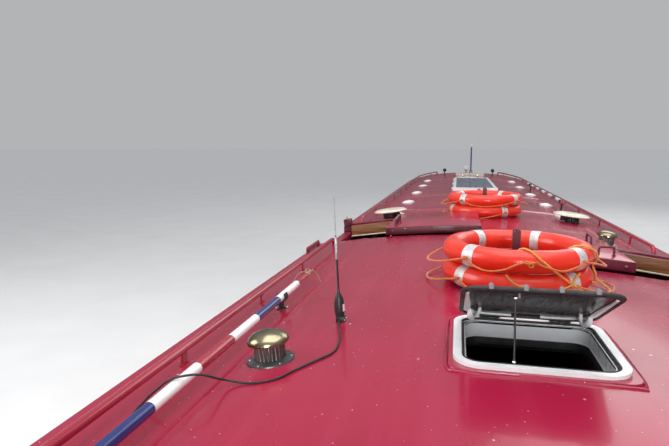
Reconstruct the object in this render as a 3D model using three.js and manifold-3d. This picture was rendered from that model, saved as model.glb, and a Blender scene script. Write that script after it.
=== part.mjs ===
// Narrowboat with a cambered cabin roof, two staggered side hatches and an open skylight.
// Millimetres, +Z up, +Y towards the bow, +X to starboard. The origin is under the middle
// of the baseplate, so the boat stands on it.
import * as THREE from 'three';
import { mergeVertices } from 'three/addons/utils/BufferGeometryUtils.js';
import Module from 'manifold-3d';

const wasm = await Module();
wasm.setup();

// Driving dimensions of the hull
const halfBeam = 1040;
const sternEnd = -1150;           // stations are counted forward from where the steerer stands
const bowEnd = 12870;
const stemFoot = 12450;
const stemKnee = 12610;           // where the stem passes the height of the counter
const plate = 12;                 // baseplate thickness
const gunwale = 1050;             // height of the side decks
const bowRise = 190;              // extra height of the gunwale at the stem
const counterFoot = 500;          // underside of the counter
const hullWall = 45;
const gap = 0.3;                  // running gap between pieces that rest on each other

// Rope fender, which leans along the raking stem
const fenderRadius = 115;
const fenderHeight = 960;
const fenderProfile = [[0, -170], [70, -150], [105, -90], [fenderRadius, 0], [105, 90], [70, 150], [0, 170]];
const stemRake = Math.atan2(bowEnd - stemKnee, gunwale + bowRise - counterFoot);
const fenderStation = stemKnee + (fenderHeight - counterFoot) * Math.tan(stemRake)
  + (fenderRadius + gap) / Math.cos(stemRake);
const fenderReach = Math.max(
  ...fenderProfile.map(([r, h]) => r * Math.cos(stemRake) + h * Math.sin(stemRake)));
const helm = -(sternEnd + fenderStation + fenderReach) / 2;

// Driving dimensions of the cabin
const cabinAft = 200;
const cabinFront = 10200;
const roofHalf = 930;             // half-width over the roof's edges
const footHalf = 955;             // half-width at the gunwale
const crown = 1960;
const knuckle = 665;              // where the roof turns down to its edge strip
const knuckleFall = 45;
const edgeFall = 82;
const roofThick = 45;
const cabinMiddle = 1500;         // a height between the gunwale and the roof
const wall = 50;
const frontHalf = 620;            // half-width of the roof at its front end
const frontTaper = 1300;          // length over which the cabin narrows
const bulkhead = 40;

// Side hatches: the stations of each well, and its side of the boat
const wells = [
  { name: 'port', side: -1, aft: 2990, fore: 3680 },
  { name: 'starboard', side: 1, aft: 2285, fore: 2865 },
];
const roofJoint = 2925;           // station where the aft roof meets the fore roof

// Windows of each cabin side, by the station of their middle
const windowStations = [1250, 4600, 5900, 7200, 8300];
const windowWide = 800;
const windowTall = 400;
const windowFoot = 1330;

// Roof fittings
const railSpan = 812;             // handrail's distance from the middle line
const railLift = 41;              // centre of the rail's bar over the roof
const railRadius = 10.5;
const ringOuter = 255;            // lifebuoy
const ringThick = 76;
const skylight = { x: 28, aft: 1132, fore: 1500, half: 185, open: 27 };

const at = (station) => helm + station;
const beyond = 1200;              // wider than half the boat
const aloft = 3000;               // higher than the boat

// Solids

function solid(geometry) {
  const bare = geometry.clone();
  bare.deleteAttribute('normal');
  bare.deleteAttribute('uv');
  const merged = mergeVertices(bare, 1e-3);
  const index = merged.index.array;
  const kept = [];
  for (let i = 0; i < index.length; i += 3) {
    const [a, b, c] = [index[i], index[i + 1], index[i + 2]];
    if (a !== b && b !== c && a !== c) kept.push(a, b, c);
  }
  const vertProperties = new Float32Array(merged.attributes.position.array);
  const triVerts = new Uint32Array(kept);
  return new wasm.Manifold(new wasm.Mesh({ numProp: 3, vertProperties, triVerts }));
}

function geometryOf(body) {
  const mesh = body.getMesh();
  const geometry = new THREE.BufferGeometry();
  geometry.setAttribute('position', new THREE.BufferAttribute(mesh.vertProperties, 3));
  geometry.setIndex(new THREE.BufferAttribute(mesh.triVerts, 1));
  geometry.computeVertexNormals();
  return geometry;
}

function box(x0, x1, y0, y1, z0, z1) {
  const geometry = new THREE.BoxGeometry(x1 - x0, y1 - y0, z1 - z0);
  geometry.translate((x0 + x1) / 2, (y0 + y1) / 2, (z0 + z1) / 2);
  return solid(geometry);
}

// Everything between two heights along a stretch of the boat
const stretch = (from, to, z0 = 0, z1 = aloft) => box(-beyond, beyond, at(from), at(to), z0, z1);

function extrude(outline, depth, basis) {
  const shape = new THREE.Shape(outline.map(([u, v]) => new THREE.Vector2(u, v)));
  const geometry = new THREE.ExtrudeGeometry(shape, { depth, bevelEnabled: false, steps: 1 });
  geometry.applyMatrix4(basis);
  return solid(geometry);
}

// Outline in plan (x, y), drawn upwards from z0 to z1
function prismUp(outline, z0, z1) {
  return extrude(outline, z1 - z0, new THREE.Matrix4().makeTranslation(0, 0, z0));
}

// Outline across the boat (x, z), drawn forward from y0 to y1
function prismForward(outline, y0, y1) {
  const basis = new THREE.Matrix4().makeBasis(
    new THREE.Vector3(1, 0, 0), new THREE.Vector3(0, 0, 1), new THREE.Vector3(0, -1, 0));
  basis.setPosition(0, y1, 0);
  return extrude(outline, y1 - y0, basis);
}

// Outline along the boat (y, z), drawn to starboard from x0 to x1
function prismAcross(outline, x0, x1) {
  const basis = new THREE.Matrix4().makeBasis(
    new THREE.Vector3(0, 1, 0), new THREE.Vector3(0, 0, 1), new THREE.Vector3(1, 0, 0));
  basis.setPosition(x0, 0, 0);
  return extrude(outline, x1 - x0, basis);
}

function rod(from, to, radius, sides = 10) {
  const a = new THREE.Vector3(...from);
  const b = new THREE.Vector3(...to);
  const geometry = new THREE.CylinderGeometry(radius, radius, a.distanceTo(b), sides);
  const turn = new THREE.Quaternion().setFromUnitVectors(
    new THREE.Vector3(0, 1, 0), b.clone().sub(a).normalize());
  geometry.applyQuaternion(turn);
  geometry.translate((a.x + b.x) / 2, (a.y + b.y) / 2, (a.z + b.z) / 2);
  return solid(geometry);
}

// Turned piece: its profile (radius, height) starts and ends on the axis, or closes on itself
function turned(profile, x, y, z, sides = 24) {
  const points = profile.map(([r, h]) => new THREE.Vector2(r, h));
  const geometry = new THREE.LatheGeometry(points, sides);
  geometry.rotateX(Math.PI / 2);
  geometry.translate(x, y, z);
  const body = solid(geometry);
  return body.volume() < 0 ? flipped(geometry) : body;
}

function flipped(geometry) {
  const mirror = geometry.clone();
  const order = mirror.index.array;
  for (let i = 0; i < order.length; i += 3) {
    [order[i], order[i + 1]] = [order[i + 1], order[i]];
  }
  return solid(mirror);
}

function arcPoints(cx, cy, radius, fromDeg, toDeg, steps) {
  const points = [];
  for (let i = 0; i <= steps; i += 1) {
    const angle = THREE.MathUtils.degToRad(fromDeg + ((toDeg - fromDeg) * i) / steps);
    points.push([cx + radius * Math.cos(angle), cy + radius * Math.sin(angle)]);
  }
  return points;
}

function roundedRect(x0, x1, y0, y1, radius, steps = 4) {
  return [
    ...arcPoints(x1 - radius, y0 + radius, radius, -90, 0, steps),
    ...arcPoints(x1 - radius, y1 - radius, radius, 0, 90, steps),
    ...arcPoints(x0 + radius, y1 - radius, radius, 90, 180, steps),
    ...arcPoints(x0 + radius, y0 + radius, radius, 180, 270, steps),
  ];
}

// Bar of round section along a smooth path
function bar(points, radius, sides = 8, steps = 40) {
  const path = new THREE.CatmullRomCurve3(points.map((p) => new THREE.Vector3(...p)), false, 'centripetal');
  const section = new THREE.Shape(
    arcPoints(0, 0, radius, 0, 360, sides).slice(0, sides).map(([u, v]) => new THREE.Vector2(u, v)));
  const geometry = new THREE.ExtrudeGeometry(section, { steps, extrudePath: path, bevelEnabled: false });
  return solid(geometry);
}

// Body through stacked plan outlines, all with the same number of points
function stack(levels) {
  const count = levels[0].length;
  const position = [];
  const index = [];
  for (const level of levels) for (const point of level) position.push(...point);
  for (let k = 0; k + 1 < levels.length; k += 1) {
    for (let i = 0; i < count; i += 1) {
      const j = (i + 1) % count;
      const [a, b, c, d] = [k * count + i, k * count + j, (k + 1) * count + j, (k + 1) * count + i];
      index.push(a, b, c, a, c, d);
    }
  }
  const cap = (level) => THREE.ShapeUtils.triangulateShape(
    level.map(([x, y]) => new THREE.Vector2(x, y)), []);
  const top = (levels.length - 1) * count;
  for (const [a, b, c] of cap(levels[0])) index.push(a, c, b);
  for (const [a, b, c] of cap(levels[levels.length - 1])) index.push(top + a, top + b, top + c);
  const geometry = new THREE.BufferGeometry();
  geometry.setAttribute('position', new THREE.Float32BufferAttribute(position, 3));
  geometry.setIndex(index);
  return solid(geometry);
}

function turnAbout(body, point, axis, degrees) {
  const geometry = geometryOf(body);
  geometry.translate(-point[0], -point[1], -point[2]);
  geometry.applyQuaternion(new THREE.Quaternion().setFromAxisAngle(
    new THREE.Vector3(...axis).normalize(), THREE.MathUtils.degToRad(degrees)));
  geometry.translate(...point);
  return solid(geometry);
}

// Three short barrels on a hinge's line
function knuckles(foot, head, radius = 9, long = 70) {
  const a = new THREE.Vector3(...foot);
  const b = new THREE.Vector3(...head);
  const half = b.clone().sub(a).normalize().multiplyScalar(long / 2);
  return [0.12, 0.5, 0.88].map((t) => {
    const middle = a.clone().lerp(b, t);
    return rod(middle.clone().sub(half).toArray(), middle.clone().add(half).toArray(), radius, 8);
  });
}

const joined = (bodies) => bodies.reduce((whole, body) => whole.add(body));

// Scene graph

const boat = new THREE.Group();

const finishes = {
  crimson: { color: 0xa8203f, roughness: 0.3, metalness: 0.1 },
  maroon: { color: 0x5c1020, roughness: 0.35, metalness: 0.1 },
  black: { color: 0x15161a, roughness: 0.5, metalness: 0.1 },
  wood: { color: 0x6b4422, roughness: 0.45, metalness: 0 },
  brass: { color: 0xa8925c, roughness: 0.35, metalness: 0.9 },
  white: { color: 0xe8e8e2, roughness: 0.4, metalness: 0 },
  cream: { color: 0xdcd6b8, roughness: 0.4, metalness: 0 },
  orange: { color: 0xe8432a, roughness: 0.45, metalness: 0 },
  grey: { color: 0x9099a0, roughness: 0.3, metalness: 0.2 },
  rope: { color: 0xb08d57, roughness: 0.9, metalness: 0 },
};

function add(name, body, finish, place = [0, 0, 0], parent = boat) {
  const mesh = new THREE.Mesh(geometryOf(body), new THREE.MeshStandardMaterial(finishes[finish]));
  mesh.name = name;
  mesh.position.set(...place);
  parent.add(mesh);
  return mesh;
}

// Hull

const shoulder = 9000;            // station where the hull begins to narrow
const thinnest = 10;

// Half-width of the hull's outline at a station, for a bow that ends at `tip`
function hullHalf(station, tip, full) {
  if (station <= shoulder) return full;
  const t = (station - shoulder) / (tip - shoulder);
  return Math.max(thinnest, full * (1 - t ** 2.1));
}

// Height of the gunwale, which rises over the bow
const riseStart = 10300;
function gunwaleAt(station) {
  const t = Math.max(0, (station - riseStart) / (bowEnd - riseStart));
  return gunwale + bowRise * t * t;
}

const bowSteps = [shoulder, 9600, 10200, 10800, 11300, 11750, 12100, 12350];

function outline(sternSide, tip, full, inset = 0) {
  const last = bowSteps.length;
  const bowSide = [...bowSteps, tip].map((s, i) => {
    const scaled = i === last ? tip : Math.min(s, tip - (last - i) * 40);
    return [Math.max(thinnest / 2, hullHalf(scaled, tip, full) - inset), scaled];
  });
  const right = [...sternSide, ...bowSide];
  return [...right, ...right.slice().reverse().map(([w, s]) => [-w, s])];
}

const swimSide = [[22, -450], [60, -300], [190, 0], [430, 350], [720, 750], [930, 1150], [1015, 1500]];
const counterSquare = 100;        // station where the counter's curve meets the straight side
const counterSide = [-90, -70, -50, -32, -16, 0].map((deg) => {
  const angle = THREE.MathUtils.degToRad(deg);
  const station = counterSquare + (counterSquare - sternEnd) * Math.sin(angle);
  return [Math.max(thinnest, halfBeam * Math.cos(angle)), station];
});

const toLevel = (points, height) => points.map(([x, s]) => [x, at(s), height]);
const toPlan = (points) => points.map(([x, s]) => [x, at(s)]);

const lowerHull = stack([
  toLevel(outline(swimSide, stemFoot, halfBeam - 12), plate + gap),
  toLevel(outline(swimSide, stemFoot + 180, halfBeam), counterFoot + 20),
]);
const upperHull = stack([
  toLevel(outline(counterSide, stemKnee, halfBeam), counterFoot),
  toLevel(outline(counterSide, bowEnd, halfBeam), gunwale + bowRise),
]);
const sheerSteps = [sternEnd - 200, riseStart, 10800, 11300, 11800, 12300, bowEnd + 50];
const overSheer = prismAcross([...sheerSteps.map((s) => [at(s), gunwaleAt(s)]),
  [at(bowEnd + 50), aloft], [at(sternEnd - 200), aloft]], -beyond, beyond);

const ballastTop = 160;
const deckPlate = 8;
const bowJoint = cabinFront - 50; // the hull's fore section begins under the front bulkhead
const roomAft = cabinAft + bulkhead + 60;
const roomSide = [[360, roomAft], [500, 520], [760, 950], [halfBeam - hullWall, 1500]];
const roomPlan = toPlan(outline(roomSide, stemFoot, halfBeam, hullWall));
const cabinRoom = prismUp(roomPlan, ballastTop, gunwale - deckPlate)
  .subtract(stretch(bowJoint, bowEnd));
const frontDoorHalf = 270;
const frontDoorFoot = 700;
const frontDoorHead = crown - 150;
const doorwayGap = 6;             // from a doorway's edge to its leaf
const openingFore = box(-frontDoorHalf, frontDoorHalf, at(cabinFront) - 100, at(cabinFront) + 60,
  frontDoorFoot - doorwayGap, frontDoorHead + doorwayGap);
const frontSteps = [0, 0.3, 0.5, 0.66, 0.8, 0.91, 1].map((t) => cabinFront - frontTaper + t * frontTaper);
const cabinOpening = prismUp(toPlan(cabinPlan(footHalf, wall)), gunwale - 20, aloft)
  .intersect(stretch(roomAft, bowJoint));
const engineFloor = 560;
const engineRoom = box(-520, 520, at(-650), at(cabinAft - 10), engineFloor, aloft);
const wellFloor = 640;
const sideDeck = 90;
const wellFore = 11380;
const wellSide = [[halfBeam - sideDeck, 8000]];
const bowWell = prismUp(toPlan(outline(wellSide, stemFoot, halfBeam, sideDeck)), wellFloor, aloft)
  .intersect(stretch(cabinFront, wellFore));

const rudderStock = -860;         // station of the rudder's axis
const stockRadius = 24;
const stockHole = rod([0, at(rudderStock), 300], [0, at(rudderStock), 1300], stockRadius + 6, 12);
const shaftHeight = 300;
const shaftRadius = 18;
const shaftHole = rod([0, at(-600), shaftHeight], [0, at(-200), shaftHeight], shaftRadius + 1, 12);

const hull = lowerHull.add(upperHull)
  .subtract(overSheer)
  .subtract(cabinRoom)
  .subtract(cabinOpening)
  .subtract(engineRoom)
  .subtract(bowWell)
  .subtract(openingFore)
  .subtract(stockHole)
  .subtract(shaftHole);

// The hull's sections meet at the fore end of the swims and at the front bulkhead
const sternJoint = 1500;
const sections = [
  ['hull_stern', sternEnd - 100, sternJoint],
  ['hull_middle', sternJoint + gap, bowJoint],
  ['hull_bow', bowJoint + gap, bowEnd + 100],
];
for (const [name, from, to] of sections) {
  add(name, hull.intersect(stretch(from, to)), 'black');
}

// Baseplate, with the skeg that carries the rudder's heel
const chine = 10;                 // the plate stands out beyond the hull's foot
const baseSide = swimSide.map(([w, s]) => [w + chine, s - chine / 2]);
const skeg = box(-35, 35, at(-980), at(-400), 0, plate);
add('baseplate', prismUp(toPlan(outline(baseSide, stemFoot + chine, halfBeam)), 0, plate).add(skeg), 'black');

const floorThick = 25;
const floorSide = [[330, roomAft + 30], [480, 540], [740, 970], [halfBeam - hullWall - 5, 1530]];
const floorPlan = toPlan(outline(floorSide, stemFoot - 10, halfBeam - 5, hullWall));
add('cabin_floor', prismUp(floorPlan, ballastTop + gap, ballastTop + floorThick)
  .subtract(stretch(bowJoint - 10, bowEnd)), 'wood');

const engine = box(-210, 210, -300, 300, 0, 360);
add('engine_block', engine, 'grey', [0, at(-250), engineFloor + gap]);

const deckThick = 22;
add('rear_deck', box(-560, 560, at(-690), at(cabinAft - 12), gunwale + gap, gunwale + deckThick), 'wood');

// Cabin

const roofTop = (x) => {
  const a = Math.abs(x);
  if (a <= knuckle) return crown - knuckleFall * (a / knuckle) ** 2;
  return crown - knuckleFall - ((edgeFall - knuckleFall) * (a - knuckle)) / (roofHalf - knuckle);
};

const camberColumns = [-1, -0.75, -0.5, -0.25, 0, 0.25, 0.5, 0.75, 1].map((t) => t * knuckle);
const roofColumns = [-roofHalf, ...camberColumns, roofHalf];

// Rise of the roof's surface for each millimetre to starboard
const roofSlope = (x) => {
  const fall = Math.abs(x) <= knuckle
    ? (2 * knuckleFall * Math.abs(x)) / knuckle ** 2
    : (edgeFall - knuckleFall) / (roofHalf - knuckle);
  return -Math.sign(x) * fall;
};

// Everything above the roof's surface, moved down by `drop`
function above(drop) {
  const edge = roofColumns.map((x) => [x, roofTop(x) - drop]);
  const fallOut = roofTop(roofHalf) - drop - 60;
  return prismForward([[-beyond, fallOut], ...edge, [beyond, fallOut], [beyond, aloft], [-beyond, aloft]],
    at(sternEnd), at(bowEnd));
}

// Everything under the roof's surface, moved up by `lift`
function below(lift) {
  const edge = roofColumns.map((x) => [x, roofTop(x) + lift]);
  const eaves = edge[0][1];
  return prismForward(
    [[-beyond, eaves], ...edge, [beyond, eaves], [beyond, cabinMiddle], [-beyond, cabinMiddle]],
    at(sternEnd), at(bowEnd));
}

// Half-width of the cabin at a station, for a straight stretch of half-width `full`
function cabinHalf(station, full) {
  const start = cabinFront - frontTaper;
  if (station <= start) return full;
  const t = (station - start) / frontTaper;
  return full - (roofHalf - frontHalf) * t ** 2.2;
}

function cabinPlan(full, inset = 0) {
  const right = [[full - inset, cabinAft], ...frontSteps.map((s) => [cabinHalf(s, full) - inset, s])];
  return [...right, ...right.slice().reverse().map(([w, s]) => [-w, s])];
}

const cabinFoot = gunwale + gap;
const cabinHead = 2020;
const leanIn = (full, inset) => {
  const rise = (cabinHead - cabinFoot) / (crown - edgeFall - gunwale);
  return full - inset - (footHalf - roofHalf) * rise;
};
const sideOuter = stack([
  toLevel(cabinPlan(footHalf), cabinFoot),
  toLevel(cabinPlan(leanIn(footHalf, 0)), cabinHead),
]);
const sideInner = stack([
  toLevel(cabinPlan(footHalf, wall), cabinFoot - 5),
  toLevel(cabinPlan(leanIn(footHalf, 0), wall), cabinHead + 5),
]);
const cabinShell = sideOuter
  .subtract(sideInner)
  .subtract(above(roofThick + gap))
  .intersect(stretch(cabinAft + bulkhead + gap, cabinFront - bulkhead - gap));

const roofPlan = prismUp(toPlan(cabinPlan(roofHalf)), cabinMiddle, aloft);
const roofPlate = below(0).subtract(below(-roofThick)).intersect(roofPlan);

// The share of a span from the middle line that lies on one side of the boat
const onSide = (side, inner, outer) => (side > 0 ? [inner, outer] : [-outer, -inner]);

const windowCorner = 60;
const windowCut = (side, station) => prismAcross(
  roundedRect(at(station - windowWide / 2), at(station + windowWide / 2), windowFoot, windowFoot + windowTall,
    windowCorner), ...onSide(side, frontHalf - 20, beyond));

const doorHead = crown - edgeFall - roofThick;
const doorFoot = gunwale + 12;
const knuckleRadius = 9;
const faceAt = (z) => footHalf - ((footHalf - roofHalf) * (z - cabinFoot)) / (crown - edgeFall - gunwale);

for (const well of wells) {
  const { side, name } = well;
  const half = box(...onSide(side, 0, beyond), at(sternEnd), at(bowEnd), 0, aloft);
  const doorway = box(...onSide(side, knuckle, beyond), at(well.aft), at(well.fore), doorFoot, aloft);
  let wallBody = cabinShell.intersect(half).subtract(doorway);
  for (const station of windowStations) wallBody = wallBody.subtract(windowCut(side, station));
  add(`cabin_side_${name}`, wallBody, 'crimson');

  const leaf = sideOuter.subtract(sideInner).intersect(half)
    .intersect(stretch(well.aft + doorwayGap, well.fore - doorwayGap, doorFoot + doorwayGap, doorHead));
  const hingeEnd = (z) => [side * faceAt(z), at(well.fore) - gap - knuckleRadius, z];
  add(`side_door_${name}`, joined([leaf,
    ...knuckles(hingeEnd(doorFoot + doorwayGap), hingeEnd(doorHead), knuckleRadius)]), 'crimson');
}

// Roof, with the wells cut in from each edge to the middle line
const ridgeHalf = 34;             // half-width of the roof left between a well and the middle line
const wellCut = ({ side, aft, fore }) => box(
  ...onSide(side, ridgeHalf, beyond), at(aft), at(fore), cabinMiddle, aloft);
const frameWide = 22;
const frameDeep = 30;             // the frame's width along its aft and fore edges
const lip = 4;                    // from the frame's opening in to the roof's
const cutHalf = skylight.half - frameWide - lip;
const skylightCut = box(skylight.x - cutHalf, skylight.x + cutHalf,
  at(skylight.aft + frameDeep + lip), at(skylight.fore - frameDeep - lip), cabinMiddle, aloft);
const rearHatch = { half: 330, fore: 700, overlap: 25 };
const rearHatchCut = box(-rearHatch.half + rearHatch.overlap, rearHatch.half - rearHatch.overlap,
  at(cabinAft - 50), at(rearHatch.fore - rearHatch.overlap), cabinMiddle, aloft);

const plinthTop = crown + 3;
const plinthRim = 12;
const plinth = box(skylight.x - skylight.half - plinthRim, skylight.x + skylight.half + plinthRim,
  at(skylight.aft) - plinthRim, at(skylight.fore) + plinthRim, crown - 40, plinthTop);

const allRoof = wells.reduce((body, well) => body.subtract(wellCut(well)), roofPlate);
const roofAft = allRoof.add(plinth).subtract(skylightCut).subtract(rearHatchCut)
  .intersect(stretch(cabinAft, roofJoint - gap / 2));
const roofFore = allRoof.intersect(stretch(roofJoint + gap / 2, cabinFront));

// Step of the folding mast: a foot plate and two cheeks welded to the fore roof
const mast = { x: 60, station: 10020, radius: 12, pivot: crown + 38, top: crown + 520 };
const cheekGap = 16;              // from the mast's middle to each cheek of its step
const mastY = at(mast.station);
const footThick = 12;             // plate under the mast's step and under each post
const sunk = 20;                  // depth of a welded foot inside the roof
const stepBase = box(mast.x - 34, mast.x + 34, mastY - 34, mastY + 34, crown - sunk, crown + footThick);
const cheekThick = 10;
const cheeks = [-cheekGap - cheekThick, cheekGap].map((dx) => box(
  mast.x + dx, mast.x + dx + cheekThick, mastY - 20, mastY + 20, crown, mast.pivot + 14));

// Stacks of lifebuoys stand over a flat post with a foot on the roof
const stacks = [
  { x: 50, station: 1975, count: 2 },
  { x: 30, station: 3955, count: 2 },
  { x: 22, station: 4830, count: 1 },
];
const postTop = (rings) => crown + rings * ringThick + 34;
const ringPost = ({ x, station, count }) => box(
  x - 14, x + 14, at(station) - 4, at(station) + 4, crown - sunk, postTop(count))
  .add(box(x - 45, x + 45, at(station) - 30, at(station) + 30, crown - sunk, crown + footThick));

add('roof_aft', roofAft.add(ringPost(stacks[0])), 'crimson');
add('roof_fore', joined([roofFore, ringPost(stacks[1]), ringPost(stacks[2]), stepBase, ...cheeks]), 'crimson');

// Side hatches: a wooden header under the fore edge, and a lid that lifts on a hinge
// along the middle line
const lidInner = 24;
const lidOuter = 550;
const lidThick = 45;
const lidSetback = 45;            // from the well's aft edge to the lid's aft face
const lidKnuckle = 8.5;
const headerOuter = roofHalf - 60;
const headerThick = 22;
const headerDeep = 80;
const stapleBar = { radius: 5, alongHalf: 45, acrossHalf: 30 };
const staples = {
  port: [{ x: 500, station: 3130, across: false }, { x: 500, station: 3290, across: false }],
  starboard: [{ x: 455, station: 2410, across: true }, { x: 455, station: 2725, across: false }],
};
for (const well of wells) {
  const { side, name } = well;
  const [headerAft, headerFore] = [at(well.fore - headerThick), at(well.fore - gap)];
  const header = box(...onSide(side, ridgeHalf + gap, headerOuter), headerAft, headerFore, cabinMiddle, aloft)
    .intersect(below(0)).subtract(below(-headerDeep));
  add(`hatch_header_${name}`, header, 'wood');

  const lidPlan = [...onSide(side, lidInner, lidOuter), at(well.aft + lidSetback), at(well.fore - 3)];
  const lidBody = below(lidThick).subtract(below(gap)).intersect(box(...lidPlan, cabinMiddle, aloft));
  const staple = (entry) => {
    const foot = roofTop(entry.x) + lidThick - 8;
    const loop = [[-1, 0], [-1, 36], [-0.7, 44], [0.7, 44], [1, 36], [1, 0]];
    return bar(loop.map(([t, rise]) => (entry.across
      ? [side * entry.x + stapleBar.acrossHalf * t, at(entry.station), foot + rise]
      : [side * entry.x, at(entry.station) + stapleBar.alongHalf * t, foot + rise])), stapleBar.radius, 6, 20);
  };
  const hingeEnd = (station) => [side * (lidInner - 6), at(station), roofTop(0) + gap + lidKnuckle];
  add(`hatch_lid_${name}`, joined([lidBody, ...staples[name].map(staple),
    ...knuckles(hingeEnd(well.aft + lidSetback), hingeEnd(well.fore - 3), lidKnuckle)]), 'crimson');
}

// Bulkheads and their doors
const rearDoorHalf = 320;
const rearDoorHead = crown - 70;
const rearDoorFoot = gunwale + deckThick + 20;
const openingAft = box(-rearDoorHalf, rearDoorHalf, at(cabinAft - 60), at(cabinAft + 100),
  rearDoorFoot - doorwayGap, aloft);
const cabinSection = sideOuter.subtract(above(roofThick + gap));
add('rear_bulkhead', cabinSection.intersect(stretch(cabinAft + gap, cabinAft + bulkhead))
  .subtract(openingAft), 'crimson');
add('front_bulkhead', cabinSection.intersect(stretch(cabinFront - bulkhead, cabinFront - gap))
  .subtract(openingFore), 'crimson');

const leafThick = 30;
const doorGap = 4;
const barrelProud = 1.5;          // from a leaf's outer face to its hinge's axis
for (const [name, side] of [['port', -1], ['starboard', 1]]) {
  const leaf = (half, y, foot, head) => box(...onSide(side, 3, half - doorGap), y, y + leafThick, foot, head);
  const hinge = (half, y, foot, head) => knuckles([side * (half - gap - knuckleRadius), y, foot],
    [side * (half - gap - knuckleRadius), y, head], knuckleRadius);
  const rearFace = at(cabinAft) + gap;
  add(`rear_door_${name}`, joined([leaf(rearDoorHalf, rearFace, rearDoorFoot, rearDoorHead),
    ...hinge(rearDoorHalf, rearFace - barrelProud, rearDoorFoot, rearDoorHead)]), 'wood');
  const frontFace = at(cabinFront) - gap;
  add(`front_door_${name}`, joined([leaf(frontDoorHalf, frontFace - leafThick, frontDoorFoot, frontDoorHead),
    ...hinge(frontDoorHalf, frontFace + barrelProud, frontDoorFoot, frontDoorHead)]), 'wood');
}

// Hatch over the rear doors, hinged at its fore edge
const rearSkirt = 62;
const hatchFore = at(rearHatch.fore);
const hatchWall = 26;
const hatchTop = crown + 42;
const hatchInner = rearHatch.half - hatchWall;
const hatchAft = cabinAft - 30;
const overDoors = box(-rearHatch.half, rearHatch.half, at(hatchAft), hatchFore, crown - rearSkirt, hatchTop)
  .subtract(below(gap).intersect(stretch(hatchAft + hatchWall, rearHatch.fore + 50)))
  .subtract(box(-hatchInner, hatchInner, at(hatchAft + hatchWall), hatchFore - hatchWall,
    crown - rearSkirt + 2, crown + 20));
const hatchKnuckle = 8.5;
const hatchHingeHeight = roofTop(160) + gap + hatchKnuckle;
const hatchBarrels = [-200, 200].map((x) => rod([x - 40, hatchFore + 5, hatchHingeHeight],
  [x + 40, hatchFore + 5, hatchHingeHeight], hatchKnuckle, 8));
add('rear_hatch', joined([overDoors, ...hatchBarrels]), 'crimson');

// Skylight: frame, lid open on its forward hinge, and stay
const frameTop = plinthTop + 9;
const frame = prismUp(roundedRect(skylight.x - skylight.half, skylight.x + skylight.half,
  at(skylight.aft), at(skylight.fore), 62), plinthTop + gap, frameTop)
  .subtract(prismUp(roundedRect(skylight.x - skylight.half + frameWide, skylight.x + skylight.half - frameWide,
    at(skylight.aft) + frameDeep, at(skylight.fore) - frameDeep, 38), plinthTop - 5, frameTop + 5));
add('skylight_frame', frame, 'white');

const hingeRadius = 11.7;
const lidHinge = [skylight.x, at(skylight.fore) - 14, frameTop + gap + hingeRadius];
const lidLength = 336;
const lidHalf = 172.5;
const lidFoot = frameTop + 1;
const stay = { x: skylight.x - 55, reach: 309, drop: 15.5, radius: 4 };
const lidPlate = prismUp(roundedRect(skylight.x - lidHalf, skylight.x + lidHalf,
  lidHinge[1] - lidLength, lidHinge[1], 50), lidFoot, lidFoot + 22);
const stayLug = box(stay.x + stay.radius + gap, stay.x + stay.radius + 6, lidHinge[1] - stay.reach - 6,
  lidHinge[1] - stay.reach + 6, lidFoot - 10, lidFoot + 2);
const lidOpen = turnAbout(lidPlate.add(stayLug), lidHinge, [1, 0, 0], -skylight.open);
const lidBarrels = [-90, 90].map((dx) => rod([skylight.x + dx - 28, lidHinge[1], lidHinge[2]],
  [skylight.x + dx + 28, lidHinge[1], lidHinge[2]], hingeRadius, 10));
add('skylight_lid', joined([lidOpen, ...lidBarrels]), 'black');

// The stay hangs beside a lug under the lid, and its foot stands inside the frame's aft edge
const openRad = THREE.MathUtils.degToRad(skylight.open);
const stayHead = [stay.x,
  lidHinge[1] - stay.reach * Math.cos(openRad) - stay.drop * Math.sin(openRad),
  lidHinge[2] + stay.reach * Math.sin(openRad) - stay.drop * Math.cos(openRad)];
const stayFoot = [stay.x, at(skylight.aft) + frameDeep + 13, frameTop - 4];
add('skylight_stay', rod(stayHead, stayFoot, stay.radius, 8), 'black');

// Handrails: a round rail on short posts
const railAt = (x) => roofTop(x) + railLift;
const railHalf = (station) => cabinHalf(station, railSpan);
const railPost = (side, station) => {
  const x = side * railHalf(station);
  return box(x - 4, x + 4, at(station) - 9, at(station) + 9, cabinMiddle, railAt(x)).subtract(below(gap));
};

// Each end of a rail turns down to the roof. Columns: distance from the end, fall
const railEnd = [[0, 30], [14, 6], [34, 0.5], [70, 0], [140, 0]];
const foreCurve = frontSteps.slice(1).map((s) => s - 60);
function rail({ side, from, to }) {
  const point = (station, fall) => [side * railHalf(station), at(station), railAt(railHalf(station)) - fall];
  const points = railEnd.map(([away, fall]) => point(from + away, fall));
  if (to === undefined) {
    for (const station of [5200, 8400, ...foreCurve]) points.push(point(station, 0));
  } else {
    for (const [away, fall] of railEnd.toReversed()) points.push(point(to - away, fall));
  }
  return bar(points, railRadius, 8, 48);
}

const rails = [
  { name: 'handrail_aft_port', side: -1, from: 260, to: 2850, posts: [620, 1175, 1730, 2245] },
  { name: 'handrail_aft_starboard', side: 1, from: 260, to: 2170, posts: [620, 1175, 1730] },
  { name: 'handrail_fore_port', side: -1, from: 3725,
    posts: [4400, 5070, 5740, 6410, 7080, 7750, 8420, 9200, 9900] },
  { name: 'handrail_fore_starboard', side: 1, from: 2950,
    posts: [3340, 4040, 4720, 5400, 6070, 6740, 7410, 8080, 8750, 9400, 9960] },
];
for (const entry of rails) {
  const posts = entry.posts.map((station) => railPost(entry.side, station));
  add(entry.name, joined([rail(entry).subtract(below(gap)), ...posts]), 'crimson');
}

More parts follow.
